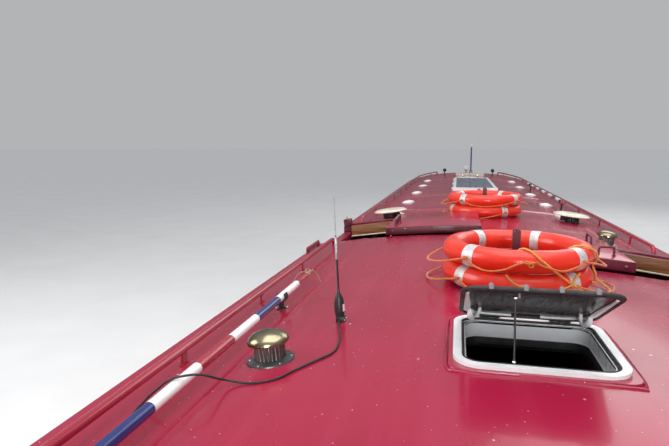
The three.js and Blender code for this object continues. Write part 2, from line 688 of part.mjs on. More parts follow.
// Boat poles in their rests
const poles = [
  { name: 'port', x: -705, from: 120, to: 2030, lift: 42, rests: [640, 1626] },
  { name: 'starboard', x: 675, from: 4600, to: 7100, lift: 75, rests: [4726, 6700] },
];
const poleRadius = 13;
for (const entry of poles) {
  const z = roofTop(entry.x) + entry.lift;
  const pole = rod([entry.x, at(entry.from), z], [entry.x, at(entry.to), z], poleRadius, 12);
  add(`pole_${entry.name}`, pole, 'white');
  const cradle = poleRadius + gap;
  entry.rests.forEach((station, i) => {
    const [aft, fore] = [at(station) - 20, at(station) + 20];
    const rest = box(entry.x - 26, entry.x + 26, at(station) - 12, at(station) + 12, cabinMiddle, z + 22)
      .subtract(below(gap))
      .subtract(rod([entry.x, aft, z], [entry.x, fore, z], cradle, 12))
      .subtract(box(entry.x - cradle, entry.x + cradle, aft, fore, z, z + 40));
    add(`pole_rest_${entry.name}_${i + 1}`, rest, 'black');
  });
}

// A body drawn upright about the middle line, set square on the roof at (x, station)
function onRoof(body, x, station) {
  const lean = THREE.MathUtils.radToDeg(Math.atan(roofSlope(x)));
  const geometry = geometryOf(turnAbout(body, [0, 0, 0], [0, 1, 0], -lean));
  geometry.translate(x, at(station), roofTop(x));
  return solid(geometry).subtract(below(gap));
}

// Ventilators
const mushroom = [[0, -30], [59, -30], [59, 4], [38, 5], [38, 44], [51, 45], [50, 56], [38, 68], [18, 73],
  [0, 74]];
for (const [name, x, station] of [['vent_port', -585, 1180], ['vent_starboard', 610, 3050]]) {
  add(name, onRoof(turned(mushroom, 0, 0, 0), x, station), 'brass');
}
const cowl = [[0, -30], [34, -30], [34, 40], [114, 42], [119, 48], [108, 56], [60, 64], [0, 66]];
for (const [name, x, station] of [['cowl_port', -625, 3920], ['cowl_starboard', 596, 3910]]) {
  add(name, onRoof(turned(cowl, 0, 0, 0), x, station), 'cream');
}

// Lifebuoys
function ring() {
  const r = ringThick / 2;
  const middle = ringOuter - r;
  const section = arcPoints(middle, 0, r, 0, 360, 12);
  section[12] = section[0];
  return turned(section, 0, 0, 0, 36);
}
let count = 0;
for (const place of stacks) {
  for (let i = 0; i < place.count; i += 1) {
    count += 1;
    add(`lifebuoy_${count}`, ring(), 'orange',
      [place.x, at(place.station), crown + gap + ringThick * (i + 0.5) + i * gap]);
  }
}

// Solar panel and low box at the fore end
add('solar_panel', box(-205, 255, at(5990), at(7990), cabinMiddle, crown + 34).subtract(below(gap)), 'grey');
add('fore_box', box(-195, 245, at(8750), at(9250), cabinMiddle, crown + 40).subtract(below(gap)), 'cream');

// Lamp, mast and side lights at the fore end
add('tunnel_lamp', rod([-20, at(10090), crown + 78], [-20, at(10160), crown + 78], 42, 16)
  .add(box(-32, -8, at(10110), at(10140), crown - 60, crown + 50)).subtract(below(gap)), 'white');
add('mast', joined([
  rod([mast.x, mastY, mast.pivot - 14], [mast.x, mastY, mast.top - 40], mast.radius, 10),
  rod([mast.x, mastY, mast.top - 40], [mast.x, mastY, mast.top], 20, 12),
  rod([mast.x - cheekGap + gap, mastY, mast.pivot], [mast.x + cheekGap - gap, mastY, mast.pivot], 6, 8),
]), 'black');
for (const [name, x] of [['side_light_port', -400], ['side_light_starboard', 440]]) {
  const z = roofTop(x) + 62;
  add(name, rod([x, at(10060), z], [x, at(10130), z], 32, 12)
    .add(box(x - 12, x + 12, at(10080), at(10110), cabinMiddle, z)).subtract(below(gap)), 'black');
}

// Antenna: a clamp foot, a housing and a whip, which leans a little outboard
const antenna = { x: -476, station: 1466, lean: 3.1 };
const antennaProfile = [[0, -10], [9, -10], [9, 6], [14, 26], [15, 43], [12, 70], [4, 85], [3, 92], [3, 181],
  [4.5, 183], [4.5, 242], [2, 244], [2, 360], [0, 361]];
const roofLean = THREE.MathUtils.radToDeg(Math.atan(roofSlope(antenna.x)));
const whip = turnAbout(turned(antennaProfile, 0, 0, 0, 12), [0, 0, 0], [0, 1, 0], roofLean - antenna.lean);
const clamp = box(-10, 16, -14, 16, -10, 16);
add('antenna', onRoof(joined([whip, clamp]), antenna.x, antenna.station), 'black');

// Its lead lies on the roof, crosses over the pole and runs aft outboard of it, into a coil.
// Columns: distance to starboard, station, height over the roof
const lead = { radius: 2.5, seat: 2.9 };
const leadRoute = [
  [-474, 1451, 7], [-472, 1430, 5], [-465, 1400, lead.seat], [-444, 1315, lead.seat], [-439, 1216, lead.seat],
  [-466, 1165, lead.seat], [-502, 1107, lead.seat], [-530, 1060, lead.seat], [-573, 1039, lead.seat],
  [-605, 1038, 5], [-635, 1032, 14], [-645, 1013, 26], [-653, 992, 40], [-661, 973, 52], [-673, 961, 58],
  [-688, 954, 59.5], [-704, 946, 59.5], [-722, 940, 54.5], [-742, 938, 41], [-762, 938, 26], [-776, 932, 12],
  [-782, 918, 5], [-780, 902, lead.seat], [-776, 885, lead.seat], [-772, 857, lead.seat],
  [-762, 800, lead.seat], [-748, 700, lead.seat], [-740, 600, lead.seat],
];
const coil = { x: -780, station: 500, middle: 30, turnsAcross: 5, layers: 2 };
const coilHalf = coil.turnsAcross * lead.radius;
const coilOuter = coil.middle + coilHalf;
const lastTurn = coilOuter - lead.radius;
const meetCoil = (radius) => Math.sqrt(coilOuter ** 2 - (lastTurn - radius) ** 2) + gap;
leadRoute.push([coil.x + lastTurn, coil.station + meetCoil(lead.radius), lead.seat]);
const leadPath = leadRoute.map(([x, s, lift]) => [x, at(s), roofTop(x) + lift]);
add('antenna_lead', bar(leadPath, lead.radius, 8, 78), 'black');
const coilSection = [[-1, 0], [1, 0], [1, 1], [-1, 1], [-1, 0]].map(([across, up]) => [
  coil.middle + across * coilHalf, 2 * gap + up * coil.layers * 2 * lead.radius]);
add('antenna_lead_coil', onRoof(turned(coilSection, 0, 0, 0, 28), coil.x, coil.station), 'black');
const connector = { radius: 7, long: 34 };
const connectorAft = coil.station - meetCoil(connector.radius);
const connectorX = coil.x + lastTurn;
const connectorZ = roofTop(connectorX) + connector.radius / Math.cos(Math.atan(roofSlope(connectorX))) + gap;
add('antenna_connector', rod([connectorX, at(connectorAft - connector.long), connectorZ],
  [connectorX, at(connectorAft), connectorZ], connector.radius, 12), 'brass');

// Running gear
const propeller = { station: -540, radius: 200 };
const onShaft = (from, to, radius, sides) => rod(
  [0, at(from), shaftHeight], [0, at(to), shaftHeight], radius, sides);
let screw = onShaft(-600, -480, 36, 14).add(onShaft(-485, -210, shaftRadius, 12));
const bladeOutline = [[-8, 20], [8, 20], [60, 120], [50, 185], [0, propeller.radius], [-50, 185], [-60, 120]];
for (let i = 0; i < 3; i += 1) {
  const blade = turnAbout(prismUp(bladeOutline, -5, 5), [0, 0, 0], [0, 1, 0], 32);
  const upright = turnAbout(blade, [0, 0, 0], [1, 0, 0], 90);
  const turnedBlade = turnAbout(upright, [0, 0, 0], [0, 1, 0], 120 * i);
  const geometry = geometryOf(turnedBlade);
  geometry.translate(0, at(propeller.station), shaftHeight);
  screw = screw.add(solid(geometry));
}
add('propeller', screw, 'brass');

const stockTop = 1290;
const rudderBlade = prismAcross([[at(-1100), 60], [at(-760), 60], [at(-760), 470], [at(-1100), 470]], -8, 8);
const onStock = (height, ahead = 0) => [0, at(rudderStock + ahead), height];
add('rudder', rudderBlade.add(rod(onStock(plate + gap), onStock(stockTop), stockRadius, 12)), 'black');

// Swan-necked tiller. Columns: distance ahead of the stock, rise over its head
const tillerRoute = [[0, gap], [0, 30], [-6, 120], [40, 220], [180, 265], [420, 275], [660, 270]];
add('tiller', bar(tillerRoute.map(([ahead, rise]) => onStock(stockTop + rise, ahead)), 17, 10, 30), 'brass');

add('bow_fender', turnAbout(turned(fenderProfile, 0, 0, 0, 16), [0, 0, 0], [1, 0, 0],
  -THREE.MathUtils.radToDeg(stemRake)), 'rope', [0, at(fenderStation), fenderHeight]);

export default boat;
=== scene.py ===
import math
import random
import bmesh
import bpy
from mathutils import Matrix, Vector


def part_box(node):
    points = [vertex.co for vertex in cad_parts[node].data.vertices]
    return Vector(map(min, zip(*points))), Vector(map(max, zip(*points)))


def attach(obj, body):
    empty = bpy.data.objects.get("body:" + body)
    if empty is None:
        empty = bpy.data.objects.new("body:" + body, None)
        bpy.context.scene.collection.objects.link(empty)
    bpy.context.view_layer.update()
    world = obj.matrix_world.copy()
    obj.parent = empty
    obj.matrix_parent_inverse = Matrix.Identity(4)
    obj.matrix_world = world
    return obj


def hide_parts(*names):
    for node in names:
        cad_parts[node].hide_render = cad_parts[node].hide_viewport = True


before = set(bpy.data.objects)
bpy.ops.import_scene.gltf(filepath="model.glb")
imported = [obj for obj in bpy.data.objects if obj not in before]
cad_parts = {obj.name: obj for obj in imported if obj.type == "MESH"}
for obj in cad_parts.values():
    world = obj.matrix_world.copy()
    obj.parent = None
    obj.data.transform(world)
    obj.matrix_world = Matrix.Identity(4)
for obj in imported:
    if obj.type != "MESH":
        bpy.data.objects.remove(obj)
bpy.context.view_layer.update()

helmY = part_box("roof_aft")[0].y - 0.2     # where the steerer stands; stations are counted forward from here
waterline = 0.55
sideWord = {-1: "Port", 1: "Starboard"}
scene = bpy.context.scene


def at(station):
    return helmY + station


# Camera: standing at the helm, looking forward over the roof

camera = {"x": -0.158, "height": 2.435, "down": 8.08, "port": 12.86, "focalPixels": 540,
          "frameWidth": 669, "sensor": 36}


def makeCamera():
    data = bpy.data.cameras.new("helmCamera")
    data.sensor_width = camera["sensor"]
    data.lens = camera["focalPixels"] / camera["frameWidth"] * camera["sensor"]
    data.clip_end = 900
    holder = bpy.data.objects.new("helmCamera", data)
    holder.location = (camera["x"], at(0), camera["height"])
    holder.rotation_euler = (math.radians(90 - camera["down"]), 0, math.radians(camera["port"]))
    scene.collection.objects.link(holder)
    scene.camera = holder


makeCamera()

# The roof's section, which most pieces stand on

roof = {"crown": 1.96, "half": 0.93, "knuckle": 0.665, "knuckleFall": 0.045, "edgeFall": 0.082,
        "thick": 0.045, "aft": 0.2, "fore": 10.2, "foreHalf": 0.62, "taper": 1.3, "softening": 0.02}


def camber(x):
    a = abs(x)
    if a <= roof["knuckle"]:
        return roof["knuckleFall"] * (a / roof["knuckle"]) ** 2
    edge = (a - roof["knuckle"]) / (roof["half"] - roof["knuckle"])
    return roof["knuckleFall"] + (roof["edgeFall"] - roof["knuckleFall"]) * edge


def roofZ(x):
    return roof["crown"] - camber(x)


def roofLean(x):     # turn about +Y that lays a piece square on the roof at x
    step = 0.002
    return math.atan2(roofZ(x - step) - roofZ(x + step), 2 * step)


def cabinHalf(station, half):
    start = roof["fore"] - roof["taper"]
    if station <= start:
        return half
    return half - (roof["half"] - roof["foreHalf"]) * ((station - start) / roof["taper"]) ** 2.2


def moved(x, y, z):
    return Matrix.Translation((x, y, z))


def spun(degrees, axis):
    return Matrix.Rotation(math.radians(degrees), 4, axis)


def acrossBoat(x, z=0):
    # stands an outline drawn as (y, z) upright, square across the boat
    return Matrix(((0, 0, 1, x), (1, 0, 0, 0), (0, 1, 0, z), (0, 0, 0, 1)))


def onRoof(x, station):
    return moved(x, at(station), roofZ(x)) @ Matrix.Rotation(roofLean(x), 4, "Y")


# Mesh tools

def mm(*points):
    # points given in millimetres
    return [tuple(size / 1000 for size in point) for point in points]


def ringAround(centre, u, v, radius, sides):
    return [centre + u * (radius * math.cos(2 * math.pi * i / sides))
            + v * (radius * math.sin(2 * math.pi * i / sides)) for i in range(sides)]


def loft(bm, rings, mat=0, closed=False, caps=True):
    rows = [[bm.verts.new(p) for p in ring] for ring in rings]
    count = len(rows[0])
    for k in range(len(rows) if closed else len(rows) - 1):
        low, high = rows[k], rows[(k + 1) % len(rows)]
        for i in range(count):
            j = (i + 1) % count
            face = bm.faces.new((low[i], low[j], high[j], high[i]))
            face.material_index = mat(k) if callable(mat) else mat
            face.smooth = True
    if caps and not closed:
        ends = ((rows[0][::-1], 0), (rows[-1], len(rows) - 2))
        for row, k in ends:
            face = bm.faces.new(row)
            face.material_index = mat(k) if callable(mat) else mat
    return rows


def tube(bm, points, radius, mat=0, sides=14, closed=False):
    points = [Vector(p) for p in points]
    count = len(points)
    heading = []
    for i, p in enumerate(points):
        before = points[i - 1] if i or closed else p
        after = points[(i + 1) % count] if i + 1 < count or closed else p
        heading.append((after - before).normalized())
    u = heading[0].orthogonal().normalized()
    rings = []
    for i, p in enumerate(points):
        if i:
            u = heading[i - 1].rotation_difference(heading[i]) @ u
        u = (u - heading[i] * u.dot(heading[i])).normalized()
        thick = radius(i / (count - 1)) if callable(radius) else radius
        rings.append(ringAround(p, u, heading[i].cross(u), thick, sides))
    loft(bm, rings, mat, closed)


def turn(bm, profile, place=Matrix(), mat=0, sides=48):
    # profile goes from foot to top as (radius, height); a radius of 0 closes it on the axis
    rows = []
    for radius, height in profile:
        if radius == 0:
            rows.append([bm.verts.new(place @ Vector((0, 0, height)))])
        else:
            rows.append([bm.verts.new(place @ p) for p in ringAround(
                Vector((0, 0, height)), Vector((1, 0, 0)), Vector((0, 1, 0)), radius, sides)])
    for k in range(len(rows) - 1):
        low, high = rows[k], rows[k + 1]
        for i in range(sides):
            j = (i + 1) % sides
            corners = [low[i % len(low)], low[j % len(low)], high[j % len(high)], high[i % len(high)]]
            kept = [c for n, c in enumerate(corners) if c not in corners[:n]]
            if len(kept) > 2:
                face = bm.faces.new(kept)
                face.material_index = mat(k) if callable(mat) else mat
                face.smooth = True


def mergeIn(bm, part, mat, place=None):
    if place is not None:
        bmesh.ops.transform(part, matrix=place, verts=part.verts)
    for face in part.faces:
        face.material_index = mat
    mesh = bpy.data.meshes.new("part")
    part.to_mesh(mesh)
    part.free()
    bm.from_mesh(mesh)
    bpy.data.meshes.remove(mesh)


def roundEdges(part, width, steps=2, sharp=25):
    edges = [e for e in part.edges if len(e.link_faces) == 2 and e.calc_face_angle(0) > math.radians(sharp)]
    bmesh.ops.bevel(part, geom=edges, offset=width, segments=steps, affect="EDGES", profile=0.5,
                    clamp_overlap=True)
    for face in part.faces:
        face.smooth = True


def block(bm, low, high, mat=0, edge=0.002, place=None, steps=2):
    part = bmesh.new()
    bmesh.ops.create_cube(part, size=1)
    size = Vector(high) - Vector(low)
    middle = (Vector(high) + Vector(low)) / 2
    bmesh.ops.transform(part, matrix=Matrix.Translation(middle) @ Matrix.Diagonal((*size, 1)),
                        verts=part.verts)
    if edge:
        roundEdges(part, edge, steps)
    mergeIn(bm, part, mat, place)


def slab(bm, outline, low, high, mat=0, edge=0.002, place=None, hole=None, steps=2):
    # outline and hole are in plan, counter-clockwise, with as many points as each other
    part = bmesh.new()
    loops = [outline] if hole is None else [outline, hole]
    levels = [[[part.verts.new((x, y, z)) for x, y in loop] for z in (low, high)] for loop in loops]
    count = len(outline)
    for n, (foot, top) in enumerate(levels):
        for i in range(count):
            j = (i + 1) % count
            corners = (foot[i], foot[j], top[j], top[i])
            part.faces.new(corners if n == 0 else corners[::-1])
    if hole is None:
        part.faces.new(levels[0][1])
        part.faces.new(levels[0][0][::-1])
    else:
        (outFoot, outTop), (inFoot, inTop) = levels
        for i in range(count):
            j = (i + 1) % count
            part.faces.new((outTop[i], outTop[j], inTop[j], inTop[i]))
            part.faces.new((outFoot[j], outFoot[i], inFoot[i], inFoot[j]))
    if edge:
        roundEdges(part, edge, steps, 40)
    mergeIn(bm, part, mat, place)


def bar(bm, side, section, s0, s1, edge, steps):
    # a straight bar of this section between two stations; a port one is mirrored
    part = bmesh.new()
    if side < 0:
        section = section[::-1]
    ends = [[part.verts.new((x, at(s), z)) for x, z in section] for s in (s0, s1)]
    for i in range(len(section)):
        j = (i + 1) % len(section)
        part.faces.new((ends[0][i], ends[1][i], ends[1][j], ends[0][j]))
    part.faces.new(ends[0])
    part.faces.new(ends[1][::-1])
    bmesh.ops.recalc_face_normals(part, faces=part.faces)
    roundEdges(part, edge, steps, 40)
    mergeIn(bm, part, 0)


def overRoof(side, across, low, high):
    # the section of a bar that follows the roof, between two heights over it
    return [(side * x, roofZ(x) + low) for x in across] + [(side * x, roofZ(x) + high)
        for x in across[::-1]]


def barrel(bm, pointAt, half, thick, thin, mat, sides=18):
    # a hinge's barrel with chamfered ends; pointAt gives its middle line
    line = [pointAt(d) for d in (-half, 0.001 - half, half - 0.001, half)]
    tube(bm, line, lambda t: thick if 0.1 < t < 0.9 else thin, mat, sides)


def domed(radius, foot, rise, steps, fullness=1, first=1):
    # the upper part of a turned profile, from the rim to the middle
    profile = []
    for i in range(first, steps + 1):
        angle = math.radians(90 * i / steps)
        profile.append((radius * math.cos(angle) ** fullness if i < steps else 0,
                        foot + rise * math.sin(angle)))
    return profile


def rectangle(x0, x1, y0, y1):
    return [(x0, y0), (x1, y0), (x1, y1), (x0, y1)]


def roundedOutline(x0, x1, y0, y1, radius, steps=8):
    points = []
    for cx, cy, start in ((x1 - radius, y0 + radius, -90), (x1 - radius, y1 - radius, 0),
                          (x0 + radius, y1 - radius, 90), (x0 + radius, y0 + radius, 180)):
        for i in range(steps + 1):
            angle = math.radians(start + 90 * i / steps)
            points.append((cx + radius * math.cos(angle), cy + radius * math.sin(angle)))
    return points


def smoothLine(points, step=0.006, closed=False):
    # centripetal curve through the points, with points about step apart
    points = [Vector(p) for p in points]
    if closed:
        points = [points[-1], *points, points[0], points[1]]
    else:
        points = [points[0] * 2 - points[1], *points, points[-1] * 2 - points[-2]]
    made = []
    for k in range(1, len(points) - 2):
        p0, p1, p2, p3 = points[k - 1:k + 3]
        t0, t1, t2 = [max(1e-4, (b - a).length ** 0.5) for a, b in ((p0, p1), (p1, p2), (p2, p3))]
        m1 = (p1 - p0) / t0 - (p2 - p0) / (t0 + t1) + (p2 - p1) / t1
        m2 = (p2 - p1) / t1 - (p3 - p1) / (t1 + t2) + (p3 - p2) / t2
        m1, m2 = m1 * t1, m2 * t1
        count = max(1, math.ceil((p2 - p1).length / step))
        for i in range(count):
            t = i / count
            made.append(p1 * (2 * t ** 3 - 3 * t ** 2 + 1) + m1 * (t ** 3 - 2 * t ** 2 + t)
                        + p2 * (3 * t ** 2 - 2 * t ** 3) + m2 * (t ** 3 - t ** 2))
    if not closed:
        made.append(points[-2])
    return made


def piece(name, bm, finishes, body="boat", stands=(), sharp=35, turnFaces=True):
    if turnFaces:
        bmesh.ops.recalc_face_normals(bm, faces=bm.faces)
    mesh = bpy.data.meshes.new(name)
    bm.to_mesh(mesh)
    bm.free()
    for key in finishes:
        mesh.materials.append(finish[key])
    for face in mesh.polygons:
        face.use_smooth = True
    mesh.set_sharp_from_angle(angle=math.radians(sharp))
    made = bpy.data.objects.new(name, mesh)
    scene.collection.objects.link(made)
    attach(made, body)
    if stands:
        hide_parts(*stands)
    return made


# Material tools: each finish below is a small node tree around one shader

shaderSockets = {"colour": "Base Color", "rough": "Roughness", "metal": "Metallic", "coat": "Coat Weight",
                 "coatRough": "Coat Roughness", "through": "Transmission Weight", "ior": "IOR",
                 "sheen": "Sheen Weight", "specular": "Specular IOR Level"}


def feed(tree, socket, value):
    # value is a number, a colour or vector, or the socket that drives this one
    if isinstance(value, bpy.types.NodeSocket):
        tree.links.new(value, socket)
    elif isinstance(value, tuple) and socket.type == "RGBA":
        socket.default_value = (*value, 1)
    else:
        socket.default_value = value


def addNode(tree, kind, values=None, **settings):
    node = tree.nodes.new("ShaderNode" + kind)
    for key, value in settings.items():
        setattr(node, key, value)
    for key, value in (values or {}).items():
        feed(tree, node.inputs[key], value)
    return node


finish = {}     # every finish under its own name


def newFinish(name, **values):
    material = bpy.data.materials.new(name)
    material.use_nodes = True
    finish[name] = material
    tree = material.node_tree
    for key, value in values.items():
        feed(tree, tree.nodes["Principled BSDF"].inputs[shaderSockets[key]], value)
    return material, tree


def finished(material, colour, rough, relief, height, strength, coat=False):
    # what drives the shader's colour and roughness, and the relief that its bump follows
    tree = material.node_tree
    shader = tree.nodes["Principled BSDF"]
    made = addNode(tree, "Bump", {"Distance": height, "Strength": strength, "Height": relief})
    driven = {"Base Color": colour, "Roughness": rough, "Normal": made.outputs[0]}
    if coat:
        driven["Coat Normal"] = made.outputs[0]
    for key, value in driven.items():
        if value is not None:
            feed(tree, shader.inputs[key], value)
    return material


def surfacePlace(tree, stretch=(1, 1, 1)):
    place = addNode(tree, "TexCoord").outputs["Object"]
    return addNode(tree, "VectorMath", {0: place, 1: stretch}, operation="MULTIPLY").outputs[0]


def grain(tree, scale, stretch=(1, 1, 1), detail=3.0, rough=0.55):
    values = {"Scale": scale, "Detail": detail, "Roughness": rough, "Vector": surfacePlace(tree, stretch)}
    return addNode(tree, "TexNoise", values).outputs["Fac"]


def between(tree, value, low, high, outLow=0.0, outHigh=1.0):
    values = {"Value": value, "From Min": low, "From Max": high, "To Min": outLow, "To Max": outHigh}
    return addNode(tree, "MapRange", values).outputs[0]


def blendColour(tree, share, first, second):
    values = {"Factor": share, "A": first, "B": second}
    return addNode(tree, "Mix", values, data_type="RGBA", blend_type="MIX").outputs["Result"]


def specks(tree, scale, size, share):
    # soft round dust marks, on a share of the cells
    cells = addNode(tree, "TexVoronoi", {"Scale": scale, "Vector": surfacePlace(tree)})
    spot = between(tree, cells.outputs["Distance"], size * 0.5, size, 1, 0)
    chosen = addNode(tree, "SeparateColor", {0: cells.outputs["Color"]})
    some = between(tree, chosen.outputs[0], share, share + 0.02, 1, 0)
    return addNode(tree, "Math", {0: spot, 1: some}, operation="MULTIPLY").outputs[0]


def glossPaint(name, colour, deep, pale, rough=(0.2, 0.42), dust=0.06, coat=0.24, runs=(9, 0.8, 9)):
    material, tree = newFinish(name, colour=colour, coat=coat, coatRough=0.08, specular=0.32)
    faded = blendColour(tree, between(tree, grain(tree, 0.9, detail=5), 0.35, 0.68), deep, colour)
    streaked = blendColour(tree, between(tree, grain(tree, 1.0, runs, 4), 0.5, 0.78, 0, 0.35), faded, pale)
    dusty = blendColour(tree, specks(tree, 34, 0.13, dust), streaked, (0.78, 0.66, 0.64))
    fine = blendColour(tree, specks(tree, 95, 0.16, dust * 1.4), dusty, (0.66, 0.5, 0.5))
    rough = between(tree, grain(tree, 2.4, (3, 1, 3), 6), 0.3, 0.72, *rough)
    return finished(material, fine, rough, grain(tree, 55, detail=2), 0.0004, 0.35, coat=True)


def evenPaint(name, colour, rough=0.35, mottle=0.12, metal=0.0, coat=0.0, scale=14, texture=0.0003):
    material, tree = newFinish(name, colour=colour, metal=metal, coat=coat)
    dark = tuple(c * (1 - 1.6 * mottle) for c in colour)
    light = tuple(min(1, c * (1 + mottle) + 0.02 * mottle) for c in colour)
    rough = between(tree, grain(tree, scale * 3, detail=4), 0.3, 0.7, rough * 0.75, min(1, rough * 1.3))
    mixed = blendColour(tree, between(tree, grain(tree, scale, detail=5), 0.32, 0.7), dark, light)
    return finished(material, mixed, rough, grain(tree, scale * 22, detail=2), texture, 0.5)


print("tools ready")

# Paints, rubber and steel that several pieces share

glossPaint("roofCrimson", (0.4, 0.014, 0.055), (0.31, 0.009, 0.036), (0.5, 0.055, 0.12),
           (0.14, 0.32), 0.045)
glossPaint("sideCrimson", (0.38, 0.027, 0.06), (0.3, 0.02, 0.045), (0.46, 0.07, 0.11), dust=0.02)
glossPaint("railCrimson", (0.4, 0.016, 0.045), (0.31, 0.012, 0.034), (0.46, 0.06, 0.09),
           (0.06, 0.15), 0.012, 0.5, (30, 2, 30))
# dark maroon: real trim paint on posts, doors, beads and angles, and painted shade on the roof's opening
# walls and the hatch lids' aft faces
glossPaint("maroonTrimAndShade", (0.12, 0.008, 0.022), (0.08, 0.006, 0.015), (0.2, 0.04, 0.06), (0.25, 0.45), 0.02)
evenPaint("satinBlack", (0.016, 0.016, 0.018), 0.42, 0.3, scale=22)
evenPaint("blackRubber", (0.02, 0.02, 0.021), 0.62, 0.3, scale=30)
evenPaint("brightSteel", (0.62, 0.62, 0.62), 0.28, 0.08, 1.0, scale=40)

# Antenna lead: the first thing settled, because it lies free on the roof

lead = {
    "radius": 0.0025, "seat": 0.0029,
    # distance to starboard, station, height over the roof
    "route": [
        (-0.474, 1.451, 0.007), (-0.472, 1.43, 0.005), (-0.465, 1.4, 0.0029), (-0.444, 1.315, 0.0029),
        (-0.439, 1.216, 0.0029), (-0.466, 1.165, 0.0029), (-0.502, 1.107, 0.0029), (-0.53, 1.06, 0.0029),
        (-0.573, 1.039, 0.0029), (-0.605, 1.038, 0.005), (-0.635, 1.032, 0.014), (-0.645, 1.013, 0.026),
        (-0.653, 0.992, 0.04), (-0.661, 0.973, 0.052), (-0.673, 0.961, 0.058), (-0.688, 0.954, 0.0595),
        (-0.704, 0.946, 0.0595), (-0.722, 0.94, 0.0545), (-0.742, 0.938, 0.041), (-0.762, 0.938, 0.026),
        (-0.776, 0.932, 0.012), (-0.782, 0.918, 0.005), (-0.78, 0.902, 0.0029), (-0.776, 0.885, 0.0029),
        (-0.772, 0.857, 0.0029), (-0.762, 0.8, 0.0029), (-0.748, 0.7, 0.0029), (-0.74, 0.6, 0.0029),
    ],
    "coilX": -0.78, "coilStation": 0.5, "outerTurn": 0.04, "innerTurn": 0.02, "turns": 8,
    "connectorRadius": 0.007, "connectorLong": 0.034,
}


def leadTurns():
    # flat spiral inwards on the roof, up one layer, and outwards again on top
    place = onRoof(lead["coilX"], lead["coilStation"])
    half, rise, steps = lead["turns"] / 2, 0.25, 44
    points = []
    for i in range(1, int(lead["turns"] * steps) + 1):
        turned = i / steps
        if turned <= half:
            share, height = turned / half, 0.0
        elif turned <= half + rise:
            share, height = 1.0, (turned - half) / rise
        else:
            share, height = 1 - (turned - half - rise) / (half - rise), 1.0
        radius = lead["outerTurn"] + (lead["innerTurn"] - lead["outerTurn"]) * share
        angle = -2 * math.pi * turned
        lift = lead["seat"] + 0.0003 + 0.0051 * (3 * height ** 2 - 2 * height ** 3)
        points.append(place @ Vector((radius * math.cos(angle), radius * math.sin(angle), lift)))
    return points


def makeLead():
    route = [Vector((x, at(station), roofZ(x) + lift)) for x, station, lift in lead["route"]]
    start = Vector((lead["coilX"] + lead["outerTurn"], at(lead["coilStation"] + 0.02), 0))
    start.z = roofZ(start.x) + lead["seat"]
    turns = leadTurns()
    tail = turns[-1] + Vector((0, -0.04, -0.0006))
    line = smoothLine([*route, start], 0.004) + turns
    line += [turns[-1].lerp(tail, t) for t in (0.25, 0.5, 0.75, 1)]
    curve = bpy.data.curves.new("antennaLead", "CURVE")
    curve.dimensions = "3D"
    curve.bevel_depth = lead["radius"]
    curve.bevel_resolution = 3
    curve.use_fill_caps = True
    spline = curve.splines.new("POLY")
    spline.points.add(len(line) - 1)
    for point, place in zip(spline.points, line):
        point.co = (*place, 1)
    curve.materials.append(finish["blackRubber"])
    made = bpy.data.objects.new("antennaLead", curve)
    scene.collection.objects.link(made)
    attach(made, "boat")
    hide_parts("antenna_lead", "antenna_lead_coil")
    plug = makeConnector()
    tie = makeCoilTie()


def makeConnector():
    radius, long = lead["connectorRadius"], lead["connectorLong"]
    low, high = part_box("antenna_connector")
    middle = (low + high) / 2
    place = moved(middle.x, high.y, middle.z) @ spun(90, "X")
    bm = bmesh.new()
    profile = [(0, 0), (0.0036, 0), (0.0042, 0.001), (0.0042, 0.007), (0.0062, 0.0085), (0.0062, 0.012),
               (radius, 0.0125), (radius, 0.024), (0.0064, 0.0246), (0.0064, 0.0252), (radius, 0.0258),
               (radius, long - 0.001), (radius - 0.001, long), (0.0052, long), (0.0052, long - 0.007),
               (0.0012, long - 0.007), (0.0012, long - 0.001), (0, long - 0.001)]
    turn(bm, profile, place, lambda k: 1 if 2 <= k <= 3 else 0, 40)
    return piece("antennaConnector", bm, ["agedBrass", "blackRubber"],
                 stands=["antenna_connector"])


def makeCoilTie():
    # a soft band round the turns, on the side away from the pole
    place = onRoof(lead["coilX"], lead["coilStation"])
    across = mm((16.4, 0), (43.6, 0), (44.6, 1.1), (44.6, 11.9), (43.6, 13), (16.4, 13),
                (15.4, 11.9), (15.4, 1.1))
    bm = bmesh.new()
    rings = []
    for y in (-0.005, -0.004, 0.004, 0.005):
        inset = 0.0003 if abs(y) > 0.0045 else 0
        rings.append([place @ Vector((-(r + (inset if r < 0.03 else -inset)), y, max(0.0004, z - inset)))
                      for r, z in across])
    loft(bm, rings)
    return piece("coilTie", bm, ["satinBlack"])


def agedBrass():
    material, tree = newFinish("agedBrass", colour=(0.5, 0.4, 0.2), metal=1.0)
    worn = between(tree, grain(tree, 26, detail=6, rough=0.65), 0.38, 0.66)
    rough = between(tree, grain(tree, 60, detail=5), 0.3, 0.7, 0.22, 0.5)
    return finished(material, blendColour(tree, worn, (0.6, 0.5, 0.27), (0.2, 0.17, 0.11)), rough,
                    grain(tree, 320, detail=3), 0.0002, 0.4)


agedBrass()
makeLead()

# Stage: a pale floor at the waterline, with a cut-out where the hull passes through

stage = {"size": 400.0, "colour": (0.82, 0.82, 0.81), "clearance": 0.004}
hull = {"halfBeam": 1.04, "stern": -1.15, "bow": 12.87, "stemFoot": 12.45, "stemKnee": 12.61,
        "shoulder": 9.0, "counterFoot": 0.5, "gunwale": 1.05, "bowRise": 0.19, "riseStart": 10.3,
        "counterSquare": 0.1}


def stemAt(height):
    if height <= hull["counterFoot"]:
        return hull["stemFoot"] + (hull["stemKnee"] - hull["stemFoot"]) * height / hull["counterFoot"]
    share = (height - hull["counterFoot"]) / (hull["gunwale"] + hull["bowRise"] - hull["counterFoot"])
    return hull["stemKnee"] + (hull["bow"] - hull["stemKnee"]) * share


def gunwaleZ(station):
    share = max(0, (station - hull["riseStart"]) / (hull["bow"] - hull["riseStart"]))
    return hull["gunwale"] + hull["bowRise"] * share ** 2


